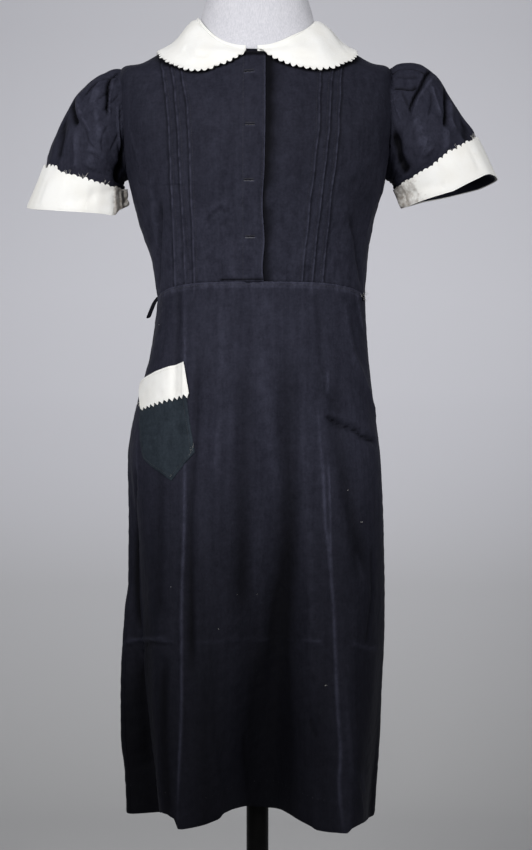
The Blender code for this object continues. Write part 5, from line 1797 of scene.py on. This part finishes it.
def add_tie():
    """The stub of tie at the wearer's right: a flat folded strip with a soft curl, cut at its end."""
    share = linspace(0, 1, 40)
    line = read_rows(TIE_LINE, share * (len(TIE_LINE) - 1))
    across = unit(np.array(TIE_ACROSS))
    depth = unit(np.cross(np.gradient(line, axis=0), across))
    c, s = cos(around(24)), sin(around(24))
    wide = 0.5 * TIE_WIDTH * np.sign(c) * np.abs(c) ** 0.35
    thick = 0.5 * TIE_THICKNESS * np.sign(s) * np.abs(s) ** 0.35 * (0.72 + 0.28 * bell(np.abs(c) - 0.85, 0.2))
    narrow = (0.25 + 0.75 * hold(8 * (1 - share)) ** 0.5)[:, None, None]
    rings = line[:, None] + narrow * wide[:, None] * across + thick[:, None] * depth[:, None]
    return fitted(add_tube("tie_right_strip", rings, 0.8), "black_cotton", "tie_right")


def add_tack():
    """The puckered end of the other tie: a small flat pinch of cloth, gathered by its stitches."""
    angle = radians(TACK_ANGLE)
    centre = moved_out(skirt, angle, TACK_FALL, -0.5 * TACK_RADIUS - SEAM)
    out = unit(centre - skirt(angle, TACK_FALL))
    across = np.cross((0, 0, 1), out)
    turns = around(64)[:, None]
    climb = linspace(-0.46 * pi, 0.46 * pi, 34)[:, None, None]
    reach = TACK_RADIUS * cos(climb) ** 0.6 * (0.8 + 0.3 * sin(5 * climb + 1))
    reach = reach * (1 + 0.2 * cos(9 * turns + 2 * climb) + 0.12 * cos(4 * turns - 5 * climb))
    rings = centre + (reach * cos(turns) + 0.0011 * sin(3 * climb)) * across + 0.5 * reach * sin(turns) * out
    rings = rings + 1.7 * TACK_RADIUS * sin(climb) * UP
    return fitted(add_tube("tie_left_tack", rings, 0.7), "black_cotton", "tie_left")


def form_ring(angles, side, left, right, front, front_z, back, back_z, square):
    """A level ring of the form, from a row of FORM_NECK."""
    x, y, share = oval(angles, left, right, front, back, square)
    z = level(share, side, np.where(sin(angles) > 0, front_z, back_z), NECK_HASTE)
    return stack([x, y, z], -1)


def add_form():
    """The padded body and neck of the form, finer than its solid and slimmer where the dress hides it."""
    angles = around(120)
    rings = [form_ring(angles, z, left, right, front, z, back, z, square)
             for z, left, right, front, back, square in read_rows(FORM_HIPS, linspace(0, 3, 16))]
    rings[0] = rings[0] * (0.965, 0.965, 1)
    for row in concatenate([np.arange(0, 7, 0.25), linspace(7.06, 10, 16)]):
        ease = CLOTH + interp(row, range(len(FORM_EASE)), FORM_EASE) + 0.0016 * hold(9.6 - row)
        rings.append(moved_out(torso, angles, row, -ease))
    rings += [form_ring(angles, *row) for row in read_rows(FORM_NECK, linspace(0, 3, 19))]
    for share in linspace(0.1, 0.5 * pi, 8):
        slim, rise = 1 - 0.1 * (1 - cos(share)), 0.008 * sin(share)
        row = np.array(FORM_NECK["neck top"]) * (1, slim, slim, slim, 1, slim, 1, 1)
        rings.append(form_ring(angles, *(row + (rise, 0, 0, 0, rise, 0, 0.75 * rise, 0))))
    piece = add_capped("form_cover", np.array(rings), "form_jersey_look")
    return fitted(piece, "form_jersey", "form_body")


def add_capped(name, rings, look):
    """A closed mesh through level rings from bottom to top, with a UV map in metres round it and up it."""
    rows, columns = rings.shape[:2]
    index = np.arange(rows * (columns + 1)).reshape(rows, columns + 1)
    wide, run = linspace(0, 2 * pi, columns + 1) * FORM_RADIUS, run_along(rings[:, 3 * columns // 4])
    flat = stack(np.broadcast_arrays(wide[None, :], run[:, None]), -1).reshape(-1, 2)
    blocks = [grid_cells(index), index[0, :-1][None, ::-1], index[-1, :-1][None]]
    side = np.cross(rings[1, 1] - rings[1, 0], rings[2, 0] - rings[1, 0])
    if side @ (rings[1, 0] - rings[1].mean(0)) < 0:
        blocks = [block[:, ::-1] for block in blocks]
    corners = concatenate([flat[block].reshape(-1, 2) for block in blocks])
    faces = [(block // (columns + 1)) * columns + (block % (columns + 1)) % columns for block in blocks]
    return add_mesh(name, rings, faces, look, corners)


def add_turned(name, node, profile, sides):
    """A piece turned about the pole's axis from a profile of radius and height."""
    c, s = cos(around(sides)), sin(around(sides))
    rings = np.array([stack([r * c, r * s, np.full(sides, z)], -1) for r, z in profile])
    return fitted(add_capped(name, rings, "black_enamel_look"), "black_enamel", node)


def add_stand():
    """The base and pole, turned, with rounded edges."""
    bend = linspace(0, 0.5 * pi, 6)
    foot = [(BASE_RADIUS - 0.0015 * (1 - sin(b)), 0.0015 * (1 - cos(b))) for b in bend]
    rim = [(BASE_RADIUS - 0.005 * (1 - cos(b)), 0.006 + 0.005 * sin(b)) for b in bend]
    slope = read_rows(BASE_PROFILE[2:6], linspace(0, 3, 28))
    collar = [(0.026, 0.034), (0.026, 0.0535), (0.025, 0.0548), (0.024, 0.055)]
    profile = foot + rim + [tuple(p) for p in slope[1:]] + collar
    add_turned("base_turned", "form_base", profile, 128)
    low, high = BASE_PROFILE[-1][1] + SEAM, FORM_HIPS["end"][0] - SEAM
    add_turned("pole_turned", "form_pole", [(POLE_RADIUS, z) for z in linspace(low, high, 12)], 64)


def pale_backdrop():
    """Floor and curved backdrop in one pale grey sheet, which a camera behind it sees through."""
    tree, shader, place, _ = new_material("pale_backdrop")
    height = add_node(tree, "SeparateXYZ", {0: place}).outputs["Z"]
    stage = bpy.context.scene.uniform_stage
    tone, low = tuple(stage.backdrop), tuple(stage.backdrop_low)
    # Painted shade and light: the sheet is darker towards the floor, and a painted band of light lies across
    # the backdrop between about 0.45 and 1.9 m.
    colour = add_mix(tree, add_range(tree, height, 0, 1), (*low, 1), (*tone, 1))
    painted_light_band = times(tree, add_range(tree, height, 0.45, 0.95), add_range(tree, height, 1.9, 1.2))
    colour = add_mix(tree, painted_light_band, colour, (*(1.16 * value for value in tone), 1))
    feed(tree, shader, {"Base Color": colour, "Roughness": 0.95, "Specular IOR Level": 0.1})
    behind = times(tree, add_node(tree, "NewGeometry").outputs["Backfacing"],
                   add_node(tree, "LightPath").outputs["Is Camera Ray"])
    clear = add_node(tree, "BsdfTransparent").outputs[0]
    seen = add_node(tree, "MixShader", {0: behind, 1: shader.outputs[0], 2: clear})
    tree.links.new(seen.outputs[0], tree.nodes["Material Output"].inputs["Surface"])


def add_backdrop():
    """A sheet that lies flat as floor and rises in a wide curve behind the form."""
    bend = linspace(0, 0.5 * pi, 24)
    y = concatenate([[-5, 0], BACKDROP_BACK - BACKDROP_BEND * (1 - sin(bend)), [BACKDROP_BACK]])
    z = concatenate([[FLOOR, FLOOR], FLOOR + BACKDROP_BEND * (1 - cos(bend)), [4.5]])
    x = linspace(-5, 5, 3)
    points = stack(np.broadcast_arrays(x[None, :], y[:, None], z[:, None]), -1)
    pale_backdrop()
    piece = add_mesh("backdrop", points, [grid_cells(np.arange(3 * len(y)).reshape(-1, 3))], "pale_backdrop")


def add_lamp(name, place, target, size, power, spread):
    """A soft lamp that faces a point, its light spread over an angle in degrees."""
    lamp = bpy.data.lights.new(name, "AREA")
    lamp.shape = "RECTANGLE"
    lamp.size, lamp.size_y = size
    lamp.energy = power
    lamp.spread = radians(spread)
    aim(bpy.data.objects.new(name, lamp), place, target)


def aim(holder, place, target):
    """Put an object at a place, its own -Z towards a target."""
    place, target = np.array(place, float), np.array(target, float)
    back = unit(place - target)
    right = unit(np.cross(UP, back))
    matrix = np.eye(4)
    matrix[:3] = stack([right, np.cross(back, right), back, place], -1)
    holder.matrix_world = Matrix(matrix.tolist())
    bpy.context.scene.collection.objects.link(holder)


def add_camera():
    """A camera at the photograph's place: level, in front, on a long lens."""
    camera = bpy.data.cameras.new("camera")
    camera.sensor_fit = "AUTO"
    camera.sensor_width = 36
    camera.lens = bpy.context.scene.uniform_stage.lens
    holder = bpy.data.objects.new("camera", camera)
    aim(holder, CAMERA_PLACE, CAMERA_TARGET)
    bpy.context.scene.camera = holder


def build_stage():
    """Floor, backdrop, soft lamps, sky light and camera."""
    scene = bpy.context.scene
    stage = scene.uniform_stage
    add_backdrop()
    for name, (place, target, size, setting, factor, spread) in LAMPS.items():
        add_lamp(name, place, target, size, factor * getattr(stage, setting), spread)
    world = bpy.data.worlds.new("studio")
    world.use_nodes = True
    feed(world.node_tree, world.node_tree.nodes["Background"], {0: SKY_COLOUR, 1: stage.sky_power})
    scene.world = world
    scene.view_settings.view_transform = "Standard"
    scene.view_settings.look = "None"
    add_camera()


def add_all_stitches():
    """Every row of stitches on the black cloth, its buttonholes' whipping, and the bar tacks."""
    fine = linspace(0, 1, 400)
    fronts = {side: partial(bodice_point, side) for side in SIDES}
    up, along = 0.06 + (NECK_ROW - 0.5) * fine, 0.05 + 7.4 * fine
    rows = [line_stitches(fronts[-1], angle_at(x, up), up, 0.0029, 0.0021)
            for x in (through(PLACKET_EDGE, up) - 0.0032, np.full_like(up, -0.019))]
    for side, surface in fronts.items():
        for number in range(3):
            x = side * (tuck_edge(side, number, along) - 0.0042)
            rows.append(line_stitches(surface, angle_at(x, along), along, 0.003, 0.0018, 0.00015, 0.00012))
    turns = radians(3) + radians(354) * fine
    rows.append(line_stitches(skirt_point, turns, 0.0052, 0.0028, 0.002))
    rows.append(line_stitches(skirt_point, turns, 0.9452, 0.009, 0.0007, 0.00016, 0.0001, 0.0006))
    add_stitches("black_stitches", "black_thread", rows, "black_cotton")
    share = linspace(0.06, 0.94, 26)
    for sign, place, thread in ((-1, "lower", "grey_thread"), (1, "upper", "black_thread")):
        lips = []
        for middle, first, last, tilt in BUTTONHOLES.values():
            x = first + (last - first) * share
            near, far = (row_at(middle + tilt * (0.5 - share) + sign * gap) for gap in (0.0007, 0.0019))
            start, out = (fronts[-1](angle_at(x, near), near, lift) for lift in (0, 0.001))
            lips.append((start, fronts[-1](angle_at(x, far), far), unit(out - start), 0.00024, 0.0002))
        add_stitches("buttonhole_" + place + "_lips", thread, lips, "black_cotton")
    add_pocket_stitches()


def add_pocket_stitches():
    """The rows of stitches round the pocket and along its band, and the bar tacks at the pocket's foot."""
    on_pocket = partial(pocket_point, POCKET, POCKET_LIFT + CLOTH)
    on_band = partial(pocket_point, BAND, BAND_LIFT + WHITE_CLOTH)
    down, across = linspace(0.3, 0.962, 200), linspace(0.05, 0.95, 200)
    rows = [line_stitches(on_pocket, share, fall, 0.0026, 0.0019)
            for share, fall in ((0.048, down), (0.952, down), (across, 0.958))]
    draw = np.random.default_rng(5)
    tacks = []
    for share, fall, count in ((0.955, 0.955, 6), (0.985, 0.915, 4), (POCKET_TURN, 0.975, 2)):
        share, fall = share + draw.uniform(-0.03, 0.03, count), fall + draw.uniform(-0.022, 0.012, count)
        start, out = (on_pocket(hold(share), np.clip(fall, 0, 0.985), lift) for lift in (0, 0.001))
        share, fall = share + draw.uniform(-0.03, 0.03, count), fall + draw.uniform(-0.03, 0.03, count)
        end = on_pocket(hold(share), np.clip(fall, 0, 0.985)) + 1e-5
        tacks.append((start, end, unit(out - start), 0.0002, 0.0003))
    add_stitches("pocket_stitches", "black_thread", rows, "black_cotton")
    add_stitches("pocket_bar_tacks", "pale_thread", tacks, "black_cotton")
    band = line_stitches(on_band, linspace(0.02, 0.98, 200), 0.09, 0.003, 0.002)
    add_stitches("band_stitches", "white_thread", [band], "white_cotton")


def wisps(starts, heads, lengths, seed, radius, points=7):
    """Loose thread ends as thin four-sided tubes: each leaves its start along its heading and curls."""
    draw = np.random.default_rng(seed)
    count = len(starts)
    share = linspace(0, 1, points)[:, None, None]
    bend = draw.normal(0, 1, (count, 3))
    bend = bend - (bend * heads).sum(-1, keepdims=True) * heads
    curl = draw.normal(0, 0.6, (count, 3))
    lengths = lengths[:, None]
    path = heads * share + 0.3 * bend * share ** 2 + 0.2 * curl * share ** 3
    path = np.moveaxis(starts + lengths * path, 0, 1)
    run = unit(np.gradient(path, axis=1))
    across = unit(np.cross(run, (0.31, 0.87, 0.38)))
    other = np.cross(run, across)
    taper = radius * interp(linspace(0, 1, points), (0, 0.15, 0.8, 1), (0.6, 1, 0.9, 0.4))
    return stack([path + taper[None, :, None] * (cos(a) * across + sin(a) * other) for a in around(4)], 2)


def add_wisps():
    """Frayed white threads at the cuffs' upper edges and the tack, one at the band, and lint on the cloth."""
    draw = np.random.default_rng(17)
    points = []
    for side, low, high, count in WISP_SPANS:
        turn = np.radians(draw.uniform(low, high, count))
        row = cuff_top(side, turn)
        base, up = (cuff_point(side, turn, at, -0.5 * WHITE_SHEET) for at in (row, row - 0.2))
        head = unit(up - base) + draw.normal(0, 0.5, (count, 3))
        head = unit(head + 0.35 * unit(cuff_point(side, turn, row, 0.002) - base))
        points.append(wisps(base, head, draw.uniform(0.003, 0.0075, count), count, 0.00013))
    angle = np.radians(draw.uniform(11, 18, 16))
    head = unit(np.tile((0.55, -0.6, 0.45), (16, 1)) + draw.normal(0, 0.5, (16, 3)))
    base = skirt_point(angle, linspace(0, 0.014, 16), 0.002)
    points.append(wisps(base, head, draw.uniform(0.004, 0.012, 16), 9, 0.00011))
    base = pocket_point(BAND, BAND_LIFT + WHITE_CLOTH, np.array([0.005, 0.01]), np.array([0.72, 0.8]))
    head = np.array([[-0.8, -0.3, -0.52], [-0.6, -0.5, -0.62]])
    points.append(wisps(base, head, np.array([0.007, 0.005]), 3, 0.00016))
    turn, height = np.array(LINT).T
    base = skirt_point(np.radians(turn), (SKIRT["waist"][0] - height) / SKIRT_LENGTH, 0.0002)
    head = unit(draw.normal(0, 1, (12, 3)) * (1, 0.15, 1))
    points = concatenate(points + [wisps(base, head, draw.uniform(0.0012, 0.003, 12), 12, 0.00016)])
    piece = add_mesh("loose_threads", points, tube_faces(points.shape[1], 4, len(points)), "white_thread")
    return fitted(piece, "white_cotton")


def tint(name, description, default):
    """A colour in the sidebar."""
    return FloatVectorProperty(name=name, description=description, default=default, subtype="COLOR",
                               min=0, max=1)


def power(name, description, default):
    """A lamp's power in the sidebar."""
    return FloatProperty(name=name, description=description, default=default, min=0)


class UniformShape(PropertyGroup):
    """Sizes of the cloth's folds and seams."""

    crease_depth: FloatProperty(name="Crease depth", description="Factor on every hand-placed crease",
                                default=1, min=0, max=2)
    tuck_rise: FloatProperty(name="Tuck rise", description="How far a tuck's crest stands off the bodice",
                             default=TUCK_RISE, min=0, max=0.003, subtype="DISTANCE", unit="LENGTH")


class UniformFinish(PropertyGroup):
    """Colours of the cloth and threads."""

    black: tint("Black", "Black cotton where its dye is whole", (0.009, 0.0093, 0.0158))
    faded: tint("Faded black", "Black cotton where it has faded", (0.04, 0.041, 0.062))
    pocket_black: tint("Pocket black", "The pocket's cloth, a cooler black", (0.0095, 0.013, 0.0176))
    pocket_faded: tint("Faded pocket", "The pocket's cloth where it has faded", (0.04, 0.052, 0.066))
    fading: FloatProperty(name="Fading", description="How much of the dye has faded",
                          default=0.75, min=0, max=1)
    white: tint("White", "White cotton of the collar and cuffs", (0.86, 0.855, 0.83))
    aged_white: tint("Aged white", "White cotton where it has yellowed", (0.78, 0.755, 0.69))
    black_thread: tint("Black thread", "Sewing thread on the black cotton", (0.021, 0.021, 0.027))


class UniformStage(PropertyGroup):
    """Lamps, backdrop and lens."""

    key_power: power("Key lamp", "Power of the lamp at the upper left, in watts", 12.6)
    fill_power: power("Fill lamp", "Power of the lamp at the right, in watts", 10.5)
    backdrop_power: power("Backdrop lamp", "Power of the lamp on the backdrop, in watts", 15)
    rear_power: power("Rear lamps", "Power of the lamps behind the dress, in watts", 1.3)
    sky_power: power("Sky light", "Strength of the even light all round", 0.16)
    backdrop: tint("Backdrop", "Colour of the backdrop's upper part", (0.62, 0.62, 0.66))
    # The floor's colour is darker than the backdrop's as painted shade.
    backdrop_low: tint("Floor", "Colour of the floor and the backdrop's foot", (0.44, 0.44, 0.44))
    lens: FloatProperty(name="Lens", description="Focal length of the camera, in millimetres",
                        default=84.2, min=20, max=300)


class UNIFORM_OT_bodice(Operator):
    """Make the two fronts and the back of the bodice."""

    bl_idname = "uniform.bodice"
    bl_label = "Bodice"

    def execute(self, context):
        right, left, back = add_front(-1), add_front(+1), add_back()
        return {"FINISHED"}


class UNIFORM_OT_skirt(Operator):
    """Make the skirt's front and back panels."""

    bl_idname = "uniform.skirt"
    bl_label = "Skirt"

    def execute(self, context):
        front = add_skirt_panel("skirt_front_cloth", "skirt_front", 0, pi, (131, 51.5, 172), 196, 176)
        back = add_skirt_panel("skirt_back_cloth", "skirt_back", pi, 2 * pi, (229.5, 311), 150, 130)
        return {"FINISHED"}


class UNIFORM_OT_sleeves(Operator):
    """Make both sleeves and their turned-up cuffs."""

    bl_idname = "uniform.sleeves"
    bl_label = "Sleeves and cuffs"

    def execute(self, context):
        for side, area, cuff in ((-1, 0.060, (0.420, 0.040)), (+1, 0.0645, (0.425, 0.0445))):
            sleeve_piece, cuff_piece = add_sleeve(side), add_cuff(side)
        return {"FINISHED"}


class UNIFORM_OT_collar(Operator):
    """Make the round white collar."""

    bl_idname = "uniform.collar"
    bl_label = "Collar"

    def execute(self, context):
        piece, facing = add_collar(), add_neck_facing()
        return {"FINISHED"}


class UNIFORM_OT_pocket(Operator):
    """Make the patch pocket and its white band."""

    bl_idname = "uniform.pocket"
    bl_label = "Pocket"

    def execute(self, context):
        pocket, band = add_pocket(), add_pocket_band()
        return {"FINISHED"}


class UNIFORM_OT_ties(Operator):
    """Make the stub of one tie and the tack of the other."""

    bl_idname = "uniform.ties"
    bl_label = "Ties"

    def execute(self, context):
        add_tie()
        add_tack()
        return {"FINISHED"}


class UNIFORM_OT_form(Operator):
    """Make the form, its pole and its base."""

    bl_idname = "uniform.form"
    bl_label = "Form and stand"

    def execute(self, context):
        add_form()
        add_stand()
        return {"FINISHED"}


class UNIFORM_OT_stitches(Operator):
    """Sew the stitches, whip the buttonholes and lay the loose threads."""

    bl_idname = "uniform.stitches"
    bl_label = "Stitches and threads"

    def execute(self, context):
        add_all_stitches()
        add_wisps()
        return {"FINISHED"}


class UNIFORM_OT_stage(Operator):
    """Set up the floor, backdrop, lamps and camera."""

    bl_idname = "uniform.stage"
    bl_label = "Stage"

    def execute(self, context):
        build_stage()
        return {"FINISHED"}


class UNIFORM_PT_sidebar(Panel):
    """The uniform's settings and the steps that make it."""

    bl_label = "Work uniform"
    bl_idname = "UNIFORM_PT_sidebar"
    bl_space_type = "VIEW_3D"
    bl_region_type = "UI"
    bl_category = "Uniform"

    def draw(self, context):
        layout = self.layout
        for group in (context.scene.uniform_shape, context.scene.uniform_finish, context.scene.uniform_stage):
            box = layout.box()
            for key in group.__annotations__:
                box.prop(group, key)
        for step in STEPS:
            layout.operator(step.bl_idname)


STEPS = (UNIFORM_OT_bodice, UNIFORM_OT_skirt, UNIFORM_OT_sleeves, UNIFORM_OT_collar, UNIFORM_OT_pocket,
         UNIFORM_OT_ties, UNIFORM_OT_form, UNIFORM_OT_stitches, UNIFORM_OT_stage)
GROUPS = {"uniform_shape": UniformShape, "uniform_finish": UniformFinish, "uniform_stage": UniformStage}


def register():
    """Register the settings, the steps and the panel."""
    for cls in (*GROUPS.values(), *STEPS, UNIFORM_PT_sidebar):
        bpy.utils.register_class(cls)
    for key, cls in GROUPS.items():
        setattr(bpy.types.Scene, key, PointerProperty(type=cls))


def unregister():
    """Remove the settings, the steps and the panel."""
    for key in GROUPS:
        delattr(bpy.types.Scene, key)
    for cls in reversed((*GROUPS.values(), *STEPS, UNIFORM_PT_sidebar)):
        bpy.utils.unregister_class(cls)


def main():
    """Make every piece in order."""
    register()
    bpy.ops.uniform.bodice()
    bpy.ops.uniform.skirt()
    bpy.ops.uniform.sleeves()
    bpy.ops.uniform.collar()
    bpy.ops.uniform.pocket()
    bpy.ops.uniform.ties()
    bpy.ops.uniform.form()
    bpy.ops.uniform.stitches()
    bpy.ops.uniform.stage()


if __name__ == "__main__":
    main()
